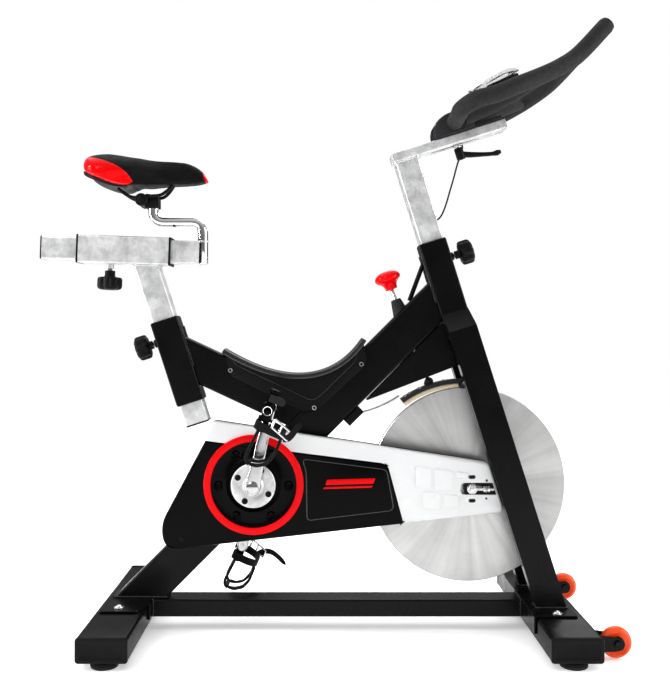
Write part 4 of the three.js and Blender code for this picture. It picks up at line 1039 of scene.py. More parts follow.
def cover_outer():
    """White moulded shell, its rim rounded over, with the chain-ring and axle openings."""
    edge, out = 6.0, COVER["outer"]
    outline = rounded(COVER_OUTLINE, 6)
    dish, slot = ring_outline(BB, 89.6), rounded(SLOT, 6)
    form = Form()
    near = -COVER["split"] - 0.3
    rolled = [(0, near), (0, -(out - edge))]
    rolled += [(-edge * (1 - math.cos(a)), -(out - edge) - edge * math.sin(a)) for a in
               (math.pi / 2 * i / 5 for i in range(1, 6))]
    for (d0, y0), (d1, y1) in zip(rolled, rolled[1:]):
        strip(form, widened(outline, d0), y0, widened(outline, d1), y1)
    faces_with_holes(form, widened(outline, -edge), [dish, slot], -out)
    for hole in (dish, slot):
        wall(form, hole, -out, -out + 3)
    back = widened(outline, -edge)
    faces_with_holes(form, back, [dish, slot], -out + 3)
    wall(form, back, -out + 3, -COVER["split"] - 2)
    strip(form, widened(outline, 0), near, back, near)
    piece("belt_cover_shell", form, LOOKS["white"], "frame", ("belt_cover_outer",), sharp=50)


def pad_on(form, outline, y, proud, soft, holes=(), steps=4, thick=0.0):
    """Shallow raised field on a face that looks towards -Y, its edge rounded over."""
    rings = [(0, 0)] + [(-soft * (1 - math.cos(a)), -(proud - soft) - soft * math.sin(a)) for a in
                        (math.pi / 2 * i / steps for i in range(steps + 1))]
    for (d0, y0), (d1, y1) in zip(rings, rings[1:]):
        strip(form, widened(outline, d0), y + y0, widened(outline, d1), y + y1)
    faces_with_holes(form, widened(outline, -soft), list(holes), y - proud)
    for hole in holes:
        wall(form, hole, y - proud, y - proud + thick)


def cover_details():
    face = -COVER["outer"]
    dish = ring_outline(BB, 91)
    panel = Form()
    window = rounded(WINDOW, 6)
    depth = COVER["outer"] - COVER["split"] - 0.4
    pad_on(panel, rounded(BLACK_PANEL, 6), face + depth, depth + 1.3, 5.2, holes=[dish], steps=6, thick=4)
    piece("belt_cover_panel", panel, LOOKS["gloss_black"], "frame", sharp=40)

    # raised line round the window, in the lighter plastic that is painted highlight
    frame_line = Form()
    path = [side(x, z, face - 1.5) for x, z in window]
    sweep(frame_line, path, rectangle(2.2, 1, 0.4, 2), up=(0, -1, 0), closed=True)
    piece("belt_cover_window", frame_line, LOOKS["lip"], "frame", sharp=60)

    stripes = Form()
    for low, high, cut in ((313, 317.5, 0), (321.5, 333, 5)):
        bar = [(10 + cut, low), (112 + cut, low + 3), (116 + cut, high + 3), (14 + cut, high)]
        pad_on(stripes, rounded([(*p, 1.6) for p in bar], 4), face - 1.2, 0.7, 0.4)
    piece("belt_cover_stripes", stripes, LOOKS["red"], "frame", sharp=50)

    embossed = Form()
    for tile in EMBOSSED:
        pad_on(embossed, rounded([(*p, 4) for p in tile], 4), face + 0.1, 1.7, 1.1)
    piece("belt_cover_embossing", embossed, LOOKS["white"], "frame", sharp=50)

    screws = Form()
    for x, z, r, long in ((325, 338.4, 4, 3.4), (325, 288.4, 4, 3.4), (356, 331, 2.4, 0), (355, 293, 2.4, 0),
                          (-288, 207, 5, 0)):
        top = face - (1.5 if x < 0 else 0.2)
        ring = [(x + u + math.copysign(long, u), z + v) for u, v in circle(r)]
        for d0, d1, h0, h1 in ((0, -0.8, 0, 0.5), (-0.8, -1.4, 0.5, -0.6)):
            strip(screws, widened(ring, d0), top - h0, widened(ring, d1), top - h1)
        screws.add([side(u, v, top + 0.6 - 0.7) for u, v in widened(ring, -1.4)], [list(range(24))])
    piece("belt_cover_screws", screws, LOOKS["plastic"], "frame", sharp=40)
    refined("belt_cover_inner", LOOKS["plastic"], 1.2)


def dish_and_ring():
    """Black recessed collar with six round dimples, and the red trim ring round it."""
    face, radial, turns = -COVER["outer"], 22, 180
    inner, outer, bowl_at, bowl = 57.5, 91.0, 74.0, 9.6
    points, faces = [], []
    for i in range(radial + 1):
        r = inner + (outer - inner) * i / radial
        for j in range(turns):
            a = 2 * math.pi * j / turns
            x, z = r * math.cos(a), r * math.sin(a)
            depth = 2.2 * math.sin(math.pi * i / radial) ** 0.6
            for k in range(6):
                c = math.radians(60 * k)
                away = math.hypot(x - bowl_at * math.cos(c), z - bowl_at * math.sin(c)) / bowl
                if away < 1:
                    depth += 7 * (1 - away * away) ** 0.8
            points.append(side(BB[0] + x, BB[1] + z, face - 2.4 + depth))
    for i in range(radial):
        for j in range(turns):
            k = (j + 1) % turns
            faces.append((i * turns + j, i * turns + k, (i + 1) * turns + k, (i + 1) * turns + j))
    form = Form().add(points, faces)
    bore = ring_outline(BB, inner, turns)
    wall(form, bore, face - 2.4, face + 12)
    piece("crank_collar", form, LOOKS["gloss_black"], "frame", sharp=50)

    ring = Form()
    r0, r1 = COVER_RING["inner"], COVER_RING["outer"]
    crown = [(r0, 0.3), (r1, 0.3)]
    crown += [(r1 - 2.2 * (1 - math.cos(a)), 1.8 + 2.2 * math.sin(a)) for a in (0, 0.4, 0.8, 1.2, 1.57)]
    crown += [(r0 + 2.2 * (1 - math.cos(a)), 1.8 + 2.2 * math.sin(a)) for a in (1.57, 1.2, 0.8, 0.4, 0)]
    lathe(ring, [*crown, (r0, 0.3)], side(*BB, face), -LEFT, 128)
    piece("cover_trim_ring", ring, LOOKS["red"], "frame", ("cover_ring",), sharp=50)


# ------------------------------------------------------------------ cranks
def crank_arm(hand):
    s, c = SIDES[hand], CRANK
    place = CRANK_FRAME @ Matrix.Rotation(math.pi if s > 0 else 0, 4, LEFT)
    form = Form(place)
    length, inner, outer = c["length"], s * c["inner"], s * c["outer"]
    widths = [(-17, 0), (-16, 7.5), (-12, 12.6), (-4, 16.4), (6, 16.6), (20, 15.2), (60, 13), (120, 11.6),
              (length - 10, 11.8), (length, 12.8), (length + 7, 11.2), (length + 11.5, 6.5), (length + 13, 0)]
    rings = []
    for z, half in widths:
        h = max(half, 0.6)
        ease = min(4.5, h * 0.7)
        swell = 0.5 if 20 < z < length - 12 else 0
        depth = abs(outer - inner) - swell
        section = rounded([(h, 0.0, ease), (h, depth, ease), (-h, depth, ease), (-h, 0.0, ease)], 4)
        rings.append([side(u, z, inner + s * (v + swell / 2)) for u, v in section])
    stack(form, rings)
    lathe(form, [(0, 73), (15.5, 73), (16.4, 76), (16.4, 92), (0, 92)], side(0, 0), LEFT * s, 40)
    lathe(form, [(0, 100), (12.4, 100), (13.2, 104), (13.2, 106.6), (12.4, 108.4), (9, 110), (4, 110.8),
                 (0, 111)], side(0, 0), LEFT * s, 40)
    eye = side(0, length)
    lathe(form, [(0, 104), (9.6, 104), (10.4, 105), (10.4, 106.6), (8.8, 107.2), (6.6, 107.2), (6.6, 100)],
          eye, LEFT * s, 40)
    lathe(form, [(0, 112), (6.5, 112), (6.5, 106), (8, 106), (8, 111.6), (0, 111.7)], eye, LEFT * s, 32)
    piece(f"crank_{hand}_arm", form, LOOKS["alloy"], "crank", (f"crank_{hand}",), bevel=0.4, sharp=48)
    spindle = Form(place)
    lathe(spindle, [(0, 88), (5, 88), (5.4, 89.6), (0, 89.6)], eye, LEFT * s, 24)
    hexagon = [(0, 86.4), (3, 86.4), (3, 89.9), (0, 89.9)]
    lathe(spindle, hexagon, eye, LEFT * s, 6)
    lathe(spindle, [(0, 111.5), (6.3, 111.5), (6.3, 190.5), (5.5, 191.5), (0, 191.5)], eye, LEFT * s, 32)
    piece(f"pedal_spindle_{hand}", spindle, LOOKS["steel"], "crank", sharp=48)


def spider():
    disc, bolts = Form(CRANK_FRAME), Form(CRANK_FRAME)
    r = CRANK["spider"]
    profile = [(15, 78), (r - 1.5, 78), (r, 79.2), (r, 82), (r - 1.4, 83.4), (r - 6, 84), (28, 84),
               (25.5, 83), (22, 83), (19, 86), (15, 86), (15, 78)]
    lathe(disc, profile, side(0, 0), -LEFT, 96)
    piece("crank_spider", disc, LOOKS["silver"], "crank", sharp=40)
    for k in range(4):
        a = math.radians(74 + 90 * k)
        at = side(36.5 * math.cos(a), 36.5 * math.sin(a), -83.8)
        bolt(bolts, at, -LEFT, 6.6, washer=False)
    piece("spider_bolts", bolts, LOOKS["plastic"], "crank", bevel=0.2)
    refined("drive_pulley", LOOKS["plastic"], 0.8)
    refined("crank_axle", LOOKS["steel"], 0.6)
    refined("drive_belt", LOOKS["rubber"], 0.4)


# ------------------------------------------------------------------ pedals
def pedal_frame(hand):
    s = SIDES[hand]
    reach = math.radians(CRANK["angle"] + (180 if s > 0 else 0))
    centre = (BB[0] + CRANK["length"] * math.sin(reach), BB[1] + CRANK["length"] * math.cos(reach))
    return local(centre, PEDAL["turn"])


def pedal(hand):
    """Caged platform pedal: toothed side plates, a barrel round the spindle and a web across each end."""
    s, p = SIDES[hand], PEDAL
    place = pedal_frame(hand)
    inner = s * p["inner"]
    half, thick = p["length"] / 2, p["thick"] / 2
    body = Form(place)
    barrel = [(0, 0), (11.5, 0), (13, 2), (13, 11), (10.6, 14), (10, 18), (10, 74), (11.4, 78), (11.4, 88),
              (8, 90.5), (0, 91)]
    lathe(body, barrel, side(0, 0, inner), LEFT * s, 40)
    for end in (-1, 1):
        x0, x1 = end * (half - 7), end * half
        rings = []
        for y, tall in ((0, 0.7), (5, 1), (83, 1), (91, 0.62)):
            h = thick * tall
            section = rounded([(x0, -h, 2.5), (x1, -h + 1.5, 3), (x1, h - 1.5, 3), (x0, h, 2.5)], 3)
            rings.append([side(u, v, inner + s * y) for u, v in section])
        stack(body, rings)
        for k in range(6):
            y = inner + s * (9 + 14 * k)
            for up in (-1, 1):
                tooth = [(x0, up * (thick - 1.2)), (x1 - end * 1.5, up * (thick - 1.2)),
                         (x1 - end * 2.5, up * (thick + 1.1)), (x0 + end * 1.5, up * (thick + 1.1))]
                prism(body, tooth, *sorted((y, y + s * 5)))
    for y0, y1 in ((2, 10), (79, 87)):
        near, far = sorted((inner + s * y0, inner + s * y1))
        web = rounded([(-half + 3, -thick + 1.5, 3), (half - 3, -thick + 1.5, 3), (half - 3, thick - 1.5, 3),
                       (-half + 3, thick - 1.5, 3)], 4)
        prism(body, web, near, far)
    piece(f"pedal_{hand}_body", body, LOOKS["gloss_black"], f"pedal_{hand}", (f"pedal_{hand}",), bevel=0.6)
    collar = Form(place)
    lathe(collar, [(6.9, -1.4), (12.4, -1.4), (13.2, -0.6), (13.2, 1.2), (12, 2), (6.9, 2), (6.9, -1.4)],
          side(0, 0, inner), LEFT * s, 40)
    piece(f"pedal_{hand}_collar", collar, LOOKS["chrome"], f"pedal_{hand}", sharp=40)
    toe_clip(hand, place, s)


def middle_heading(path, k):
    """Direction of a polyline at one of its points, from the points on both sides of it."""
    return (path[min(k + 1, len(path) - 1)] - path[max(k - 1, 0)]).normalized()


def toe_clip(hand, place, s):
    """Moulded toe cage with its open nose, and the strap that goes through the cage and the pedal."""
    p = PEDAL
    half, thick = p["length"] / 2, p["thick"] / 2
    middle = s * (p["inner"] + p["outer"]) / 2
    line = filleted([side(half + 0.3, -3), side(100, -8), side(113, -1), side(111, 20), side(99, 37),
                     side(78, 45), side(45, 45)], 7, 6)
    cage = Form(place)

    def spread_at(t):
        return 30 - 6 * math.sin(math.pi * min(1, t * 1.1)) + 3 * t

    for edge in (-1, 1):
        route = []
        for k, point in enumerate(line):
            route.append(point + LEFT * (middle + edge * spread_at(k / (len(line) - 1))))
        sweep(cage, route, rectangle(9, 6, 1.8, 3), up=side(0, 1))
    for t, tall in ((0.02, 3.5), (0.34, 4.5), (0.97, 5)):          # bridges between its two sides
        k = min(len(line) - 2, int(t * (len(line) - 1)))
        at, ahead = line[k], (line[k + 1] - line[k]).normalized()
        spread, normal = spread_at(t), ahead.cross(LEFT)
        rings = []
        section = rectangle(tall * 2, 3, 1.2, 3)
        for y in (-spread, -spread / 2, 0, spread / 2, spread):
            rings.append([at + LEFT * (middle + y) + ahead * a + normal * b for a, b in section])
        stack(cage, rings)
    piece(f"toe_cage_{hand}", cage, LOOKS["plastic"], f"pedal_{hand}", (f"toe_clip_{hand}",), sharp=50)

    inner_y, outer_y = s * (p["inner"] - 2), s * (p["outer"] + 3)
    under = -thick - 2.4
    band = [side(30, under, inner_y + s * 12), side(31, under, inner_y), side(32, 0, inner_y - s * 2),
            side(34, 26, inner_y + s * 1), side(36, 44, inner_y + s * 17), side(37, 49, middle),
            side(36, 44, outer_y - s * 17), side(34, 26, outer_y - s * 1), side(32, 0, outer_y + s * 2),
            side(31, under, outer_y), side(30, under, outer_y - s * 12)]
    strap = Form(place)
    path = smooth_path(band, 6)
    rings = []
    for k, point in enumerate(path):
        normal = middle_heading(path, k).cross(FORWARD).normalized()
        rings.append([point + FORWARD * a + normal * b for a, b in rectangle(17, 2.2, 0.9, 2)])
    stack(strap, rings)
    free = {"right": [(37, 48), (34, 56), (25, 61), (14, 64), (6, 67), (-2, 71)],
            "left": [(38, 43), (27, 52), (21, 63), (20, 76), (25, 94), (35, 116)]}[hand]
    lifts = (3, 5, 6.5, 7, 7, 6)
    tail = [side(x, z, outer_y + s * lift) for (x, z), lift in zip(free, lifts)]
    path = smooth_path(tail, 6)
    rings = []
    for k, point in enumerate(path):
        t = k / (len(path) - 1)
        across = middle_heading(path, k).cross(LEFT).normalized()
        width = 15 * (1 - 0.35 * t) * math.sqrt(max(0.02, 1 - max(0, t - 0.88) ** 2 / 0.0144))
        rings.append([point + across * a + LEFT * b for a, b in rectangle(max(width, 2.4), 2.2, 0.9, 2)])
    stack(strap, rings)
    piece(f"toe_strap_{hand}", strap, LOOKS["strap"], f"pedal_{hand}", sharp=50)
    tab = Form(place)
    hook = rounded([(-34, -6, 3), (-19, -6, 3), (-19, 25, 4), (-27, 28, 4), (-34, 22, 4)], 4)
    prism(tab, hook, *sorted((outer_y - s * 4, outer_y + s * 1)))
    piece(f"pedal_{hand}_tab", tab, LOOKS["soft_grey"], f"pedal_{hand}", bevel=0.8)
    buckle = Form(place)
    near_x, far_x, low, high, lean = 8, 26, 20, 58, 13      # a slanting frame of wire with three bars
    for x in (near_x, far_x):
        sweep(buckle, [side(x, low, outer_y + s * 3), side(x + lean, high, outer_y + s * 4)], circle(2.2, 12),
              up=(1, 0, 0))
    for part, thin in ((0, 2.8), (0.45, 2.2), (1, 2.8)):
        shift, z = lean * part, low + (high - low) * part
        sweep(buckle, [side(near_x + shift, z, outer_y + s * 3.4), side(far_x + shift, z, outer_y + s * 3.4)],
              circle(thin, 12), up=(0, 0, 1))
    lathe(buckle, [(7.6, 0), (9.6, 0), (10, 0.8), (9.6, 1.8), (8.2, 1.8), (7.6, 1), (7.6, 0)],
          side(0, 0, outer_y - s * 3), LEFT * s, 40)
    for x, z in ((25, -2), (21, 13)):
        bolt(buckle, side(x, z, outer_y - s * 3.4), LEFT * s, 3.2, washer=False)
    piece(f"strap_buckle_{hand}", buckle, LOOKS["chrome"], f"pedal_{hand}", sharp=60)


# ------------------------------------------------------------------ flywheel and axle
def flywheel():
    f, form = FLYWHEEL, Form()
    r, half, hub = f["radius"], f["half"], f["hub"]
    profile = [(6.4, -14), (hub - 1, -14), (hub, -13), (hub, -half), (r - 1.2, -half), (r, -half + 1.2),
               (r, half - 1.2), (r - 1.2, half), (hub, half), (hub, 38), (f["belt"], 38), (f["belt"], 56),
               (6.4, 56), (6.4, -14)]
    lathe(form, profile, side(*AXLE), -LEFT, 160)
    piece("flywheel_disc", form, LOOKS["flywheel"], "flywheel", ("flywheel",), sharp=10)


def axle_and_tension():
    form = Form()
    x, z = AXLE
    lathe(form, [(0, -79), (5.4, -79), (6, -78.2), (6, 78.2), (5.4, 79), (0, 79)], side(x, z), LEFT, 32)
    for s in SIDES.values():
        out = LEFT * s
        plain_ring(form, 6.2, 11.5, 1.6, side(x, z, s * 66.3), out, 32)
        nut = [(6.2, 0), (10.4, 0), (10.4, 6.8), (9.2, 8), (6.2, 8), (6.2, 0)]
        lathe(form, nut, side(x, z, s * 68), out, 6)
        lathe(form, [(0, 0), (5.6, 0), (5.6, 2.6), (4, 4), (0, 4)], side(x, z, s * 76), out, 24)
        plain_ring(form, 6.2, 10, 2.2, side(x, z, s * 57.4), out, 6)
        plane = s * 73
        eye = [side(x + 7.5 * math.cos(a), z + 7.5 * math.sin(a), plane) for a in
               (math.pi * 2 * k / 28 for k in range(28))]
        sweep(form, eye, circle(2.3, 12), up=(0, 1, 0), closed=True)
        thread = evenly([side(x + 8.5, z, plane), side(x + 45, z, plane)], 0.5)
        sweep(form, thread, circle(3.3, 16), grow=lambda t: 1 + 0.05 * math.sin(t * 190))
        for start in (22, 31):
            plain_ring(form, 3.4, 6.6, 4.6, side(x + start, z, plane), FORWARD, 6)
        plain_ring(form, 3.4, 7.8, 1.2, side(x + 27.6, z, plane), FORWARD, 28)
    piece("flywheel_axle_set", form, LOOKS["zinc"], "frame", ("flywheel_axle",), bevel=0.3)


def drive():
    cover_outer()
    cover_details()
    dish_and_ring()
    for hand in SIDES:
        crank_arm(hand)
        pedal(hand)
    spider()
    flywheel()
    axle_and_tension()


drive()


# ------------------------------------------------------------------ knobs
def hand_knob(name, place, tip, direction, shaft, neck, head, reach, height, radius, body, node):
    """Lobed hand knob with a domed face on a threaded pin."""
    grip, pin = Form(place), Form(place)

    def lobes(angle, h):
        full = 1 if head + 3 < h < head + height - 2 else 0.55
        return -1.9 * full * (0.5 - 0.5 * math.cos(8 * angle)) ** 1.5 * 2

    top = head + height
    profile = [(0, neck), (reach, neck), (reach, head - 4), (reach + 1.5, head - 1), (radius - 6, head),
               (radius - 2.4, head + 0.8), (radius - 0.6, head + 3.2), (radius, head + 6), (radius, top - 8),
               (radius - 0.8, top - 5), (radius - 3, top - 2.4), (radius - 8, top - 0.6), (radius * 0.5, top),
               (radius * 0.46, top - 0.8), (0, top - 0.8)]
    lathe(grip, profile, tip, direction, 96, wobble=lambda a, h: lobes(a, h) if h > head + 0.5 else 0)
    piece(f"{name}_grip", grip, LOOKS["plastic"], body, (node,), sharp=48)
    thread, pitch = [(0, 0.4), (shaft - 0.8, 0.4), (shaft, 1.4)], 1.25
    for k in range(int((neck + 2) / pitch)):
        thread += [(shaft, 1.6 + pitch * k), (shaft - 0.45, 2.2 + pitch * k)]
    thread += [(shaft, neck + 3), (0, neck + 3)]
    lathe(pin, thread, tip, direction, 24)
    piece(f"{name}_pin", pin, LOOKS["zinc"], body, sharp=30)


# ------------------------------------------------------------------ saddle
SADDLE = [               # x, half width, top, side edge and middle of the underside
    (-503, 46, 1008, 990, 994), (-494, 78, 1024, 980, 985), (-470, 97, 1028, 968, 975),
    (-433, 101, 1025, 956, 968), (-402, 93, 1020, 957, 967), (-384, 81, 1018, 961, 966),
    (-364, 63, 1015, 962, 965), (-345, 48, 1013.5, 963, 966), (-308, 34, 1012, 964, 967),
    (-270, 28, 1006.5, 965, 968), (-248, 22, 994, 967, 969), (-236, 13, 977, 968, 970),
]


def saddle_stations(steps):
    """The stations, with `steps` smooth ones between each two."""
    tops = smooth_path([(x, half, top) for x, half, top, _, _ in SADDLE], steps)
    lows = smooth_path([(x, edge, middle) for x, _, _, edge, middle in SADDLE], steps)
    made = []
    for k, top in enumerate(tops):
        low = lows[min(k, len(lows) - 1)]
        made.append((top.x, top.y, top.z, low.y, low.z))
    return made


def drawn_in(x):
    """How far the pad's lower edge is drawn in under its sides, most at the thighs."""
    return 1 - 0.36 * math.exp(-((x + 395) / 45) ** 2)


def saddle_form(shrink):
    rings = []
    for x, half, top, edge, middle in saddle_stations(5):
        ring = []
        half, top, edge = half - shrink, top - shrink, edge + shrink * 0.6
        low = drawn_in(x)
        for i in range(25):
            angle = math.pi * i / 24
            wide = low + (1 - low) * math.sin(min(1, abs(math.sin(angle)) / 0.3) * math.pi / 2)
            height = (top - edge - 2) * max(0, math.sin(angle)) ** 0.7
            ring.append(side(x, edge + 2 + height, half * wide * math.cos(angle)))
        for i in range(1, 12):
            across = -1 + i / 6
            under = edge + shrink * 0.4 + (middle - edge) * (1 - across * across)
            ring.append(side(x, under, half * 0.98 * low * across))
        rings.append(ring)
    form = Form()
    stack(form, rings, capped=False)
    for ring in (rings[0], rings[-1]):
        centre = sum(ring, Vector()) / len(ring)
        n = len(ring)
        form.add([*ring, centre], [[i, (i + 1) % n, n] for i in range(n)])
    return form


CLOTH = dict(quality=6, stiffness=25, frames=20)


def swollen(made, voxel, pressure, cap):
    """Inflates a padded piece by cloth simulation; no point moves further than `cap` millimetres."""
    bpy.context.view_layer.objects.active = made
    remesh = made.modifiers.new("even_mesh", "REMESH")
    remesh.mode = "VOXEL"
    remesh.voxel_size = voxel * MM
    graph = bpy.context.evaluated_depsgraph_get()
    even = bpy.data.meshes.new_from_object(made.evaluated_get(graph))
    made.modifiers.clear()
    materials = list(made.data.materials)
    made.data = even
    even.materials.clear()
    for material in materials:
        even.materials.append(material)
    start = [v.co.copy() for v in even.vertices]
    cloth = made.modifiers.new("padding", "CLOTH")
    cloth.settings.quality = CLOTH["quality"]
    cloth.settings.use_pressure = True
    cloth.settings.uniform_pressure_force = pressure
    cloth.settings.effector_weights.gravity = 0
    cloth.settings.tension_stiffness = CLOTH["stiffness"]
    cloth.settings.compression_stiffness = CLOTH["stiffness"]
    scene = bpy.context.scene
    for number in range(1, CLOTH["frames"] + 1):
        scene.frame_set(number)
    graph = bpy.context.evaluated_depsgraph_get()
    reached = [v.co.copy() for v in made.evaluated_get(graph).data.vertices]
    made.modifiers.clear()
    scene.frame_set(1)
    for vertex, old, new in zip(even.vertices, start, reached):
        step = new - old
        if step.length > cap * MM:
            step *= cap * MM / step.length
        vertex.co = old + step
    for face in even.polygons:
        face.use_smooth = True


def saddle_cover_look():
    """Black vinyl with glossy red panels at the rear flanks and the nose, and a seam between."""
    look = Look("saddle_cover", "saddle_vinyl", (0.012, 0.012, 0.012), 0.5, Specular_IOR_Level=0.1)
    split = look.nodes.new("ShaderNodeSeparateXYZ")
    look.links.new(look.moved(MADE @ side(0, 0), scale=(MM, MM, MM)), split.inputs[0])
    x, y, z = split.outputs
    edge_x, edge_lean, foot_z, rise = -392, 70, 945, 64         # the front edge of the rear panels
    spine_half, spread, tail = 20, 0.3, 503                     # the black strip along the middle
    nose_x, nose_z, nose_half, bowed = 250, 992, 24, 6          # the rear edge of the nose panel
    across = look.calc("ABSOLUTE", y, 0)
    height = look.calc("MAXIMUM", look.calc("DIVIDE", look.calc("SUBTRACT", z, foot_z), rise), 0)
    line = look.calc("SUBTRACT", edge_x, look.calc("MULTIPLY", look.calc("POWER", height, 3), edge_lean))
    rear = look.calc("MULTIPLY", look.calc("SUBTRACT", line, x), 0.7)
    widening = look.calc("MULTIPLY", look.calc("ADD", x, tail), spread)
    spine = look.calc("SUBTRACT", across, look.calc("ADD", spine_half, widening))
    rear = look.calc("MINIMUM", rear, spine)
    off_middle = look.calc("DIVIDE", look.calc("SUBTRACT", z, nose_z), nose_half)
    bow = look.calc("MULTIPLY", look.calc("POWER", off_middle, 2), bowed)
    nose = look.calc("SUBTRACT", look.calc("ADD", x, nose_x), bow)
    field = look.calc("MAXIMUM", rear, nose)
    mask = look.span(field, 0, 1, -0.3, 0.3)
    seam = look.span(look.calc("ABSOLUTE", field, 0), 0, 1, 0.2, 1.8)
    vinyl = look.between(look.noise(60, 4), (0.006, 0.006, 0.006), (0.011, 0.011, 0.0115))
    red = look.between(look.noise(30, 3), (0.66, 0.002, 0.004), (0.76, 0.004, 0.007))
    look.tint(mask, vinyl, red)
    rough = look.nodes.new("ShaderNodeMix")
    look.links.new(mask, rough.inputs[0])
    look.links.new(look.span(look.noise(80, 3), 0.46, 0.62), rough.inputs[2])
    look.links.new(look.span(look.noise(60, 3), 0.14, 0.24), rough.inputs[3])
    look.roughness(rough.outputs[0])
    grain = look.calc("MULTIPLY", look.cells(850), look.calc("SUBTRACT", 1.15, mask))
    look.bump(grain, 0.16)
    look.bump(seam, 0.8)
    return look.material


def saddle():
    pad = piece("saddle_cover", saddle_form(2.2), saddle_cover_look(), "saddle", ("saddle_pad",), sharp=180)
    swollen(pad, voxel=4.5, pressure=4.0, cap=4.5)
    pad.modifiers.new("smooth", "SUBSURF").levels = 1
    pad.modifiers["smooth"].render_levels = 1

    base = Form()
    rings = []
    for x, half, _, edge, middle in saddle_stations(4)[2:-15]:
        ring = []
        under = [(across, edge + (middle - edge) * (1 - across * across)) for across in
                 (0.86 - 0.172 * i for i in range(11))]
        tucked = 9 * min(1, max(0, (x + 412) / 18))
        wide = half * drawn_in(x)
        ring += [side(x, z + 1.5 + tucked, wide * across * 0.93) for across, z in under]
        ring += [side(x, z - 5.5 + tucked, wide * across * 0.86) for across, z in reversed(under)]
        rings.append(ring)
    stack(base, rings)
    piece("saddle_shell", base, LOOKS["plastic"], "saddle", ("saddle_base",), bevel=0.9, sharp=46)

    rails = Form()
    half = [side(-432, 954, 28), side(-414, 940.5, 24), side(-402, 935.5, 23), side(-385, 935, 22),
            side(-360, 938, 22), side(-341, 940.5, 20), side(-328, 950, 15), side(-320, 959, 10),
            side(-315, 965, 4)]
    other = [side(p.x, p.z, -p.y) for p in reversed(half)]
    sweep(rails, smooth_path([*half, *other], 8), circle(3.5, 16))
    piece("saddle_rail_wire", rails, LOOKS["plastic"], "saddle", ("saddle_rails",), sharp=60)


def saddle_clamp():
    px, pz = SADDLE_PIVOT
    form = Form()
    collar = rounded([(-376, 913, 3), (-346, 913, 3), (-346, 940, 9), (-376, 945, 6)], 5)
    for near, far in ((-15, -3.5), (3.5, 15)):
        prism(form, collar, near, far)
    prism(form, rounded([(-374, 914, 2), (-348, 914, 2), (-348, 936, 6), (-374, 940, 4)], 4), -3.6, 3.6)
    lathe(form, [(0, -12), (13, -12), (13, 12), (0, 12)], side(px, pz), LEFT, 48)
    piece("saddle_clamp_collar", form, LOOKS["plastic"], "seat_slider", ("saddle_clamp",), bevel=1.2)
    ears = Form()
    for s in SIDES.values():
        profile = [(0, 16), (12, 16), (13.6, 17.5), (13.6, 21), (12.4, 22), (13.6, 23), (13.6, 27.5),
                   (12, 29), (0, 29)]
        lathe(ears, profile, side(px, pz), LEFT * s, 48)
        lathe(ears, [(0, 29), (7.4, 29), (7.4, 30), (6.4, 31.2), (0, 31.2)], side(px, pz), LEFT * s, 6)
        for k in range(18):
            a = 2 * math.pi * k / 18
            at = side(px + 10.8 * math.cos(a), pz + 10.8 * math.sin(a), 0)
            lathe(ears, [(0, 28.4), (1.1, 28.4), (0.7, 29.7), (0, 29.7)], at, LEFT * s, 8)
    piece("saddle_rail_clamp", ears, LOOKS["plastic"], "saddle", ("rail_clamp",), bevel=0.3)


def seat_metal():
    refined("seat_post", LOOKS["silver"], 0.8)
    refined("rail_sleeve", LOOKS["silver"], 0.8)
    refined("seat_slider", LOOKS["silver"], 0.8)
    r, stem = STEM, Form()
    route = filleted([side(r["front"], 792), side(r["front"], r["level"]), side(r["rear"], r["level"]),
                      side(r["rear"], 935)], r["bend"], 14)
    sweep(stem, route, circle(r["radius"], 40), up=(0, 1, 0))
    piece("seat_stem_tube", stem, LOOKS["chrome"], "seat_slider", ("seat_stem",), bevel=0.6, sharp=50)
    inserts = Form()
    along = RAIL_FRAME @ Matrix.Rotation(math.pi / 2, 4, LEFT)
    half = RAIL["half"]
    for z0, z1 in ((half + 0.2, half + 3.6), (-half - 3.6, -half - 0.2)):
        rim_insert(inserts, along, z0, z1, SLEEVE + 1.2, POST + 0.6)
    piece("rail_sleeve_inserts", inserts, LOOKS["plastic"], "seat_post", bevel=0.5)
    caps = Form(along)
    steps = ((-8, 45.2), (0.2, 45.2), (0.2, 50.2), (2.2, 50.2), (3, 47.5), (3, 30))
    tiers(caps, [(RAIL["rear"] - d, rectangle(w, w, 3.4)) for d, w in steps])
    tiers(caps, [(z, rectangle(45.2, 45.2, 3.4)) for z in (145, 149)])
    piece("slider_end_caps", caps, LOOKS["plastic"], "seat_slider", bevel=0.3)
    shoe = Form(SEAT_FRAME)
    steps = ((-229, 45.6), (-232.2, 45.6), (-232.2, 50.2), (-234.6, 50.2), (-235.4, 48))
    tiers(shoe, [(z, rectangle(w, w, 4)) for z, w in steps])
    piece("seat_post_cap", shoe, LOOKS["plastic"], "seat_post", bevel=0.3)
    beads = Form()
    up = heading(90 - RAIL["tilt"])
    under = side(*RAIL["centre"]) - up * (SLEEVE / 2 + 1.2)
    axis = SEAT_FRAME.to_3x3() @ UP
    base = SEAT_FRAME @ side(0, 0)
    corners = []
    for u, v in ((-25, -25), (25, -25), (25, 25), (-25, 25)):
        start = base + (SEAT_FRAME.to_3x3() @ Vector((u, v, 0)))
        corners.append(start + axis * ((under - start).dot(up) / axis.dot(up)))
    weld_bead(beads, corners, 2.4, closed=True)
    slope = math.tan(math.radians(RAIL["tilt"]))
    top = RAIL["centre"][1] + POST / 2 / math.cos(math.radians(RAIL["tilt"])) + 0.8
    ring = []
    for k in range(40):
        a = 2 * math.pi * k / 40
        x = r["front"] + 12 * math.cos(a)
        ring.append(side(x, top - (x - RAIL["centre"][0]) * slope, 12 * math.sin(a)))
    weld_bead(beads, ring, 1.8, closed=True)
    piece("seat_welds", beads, LOOKS["silver"], "seat_post", sharp=70)


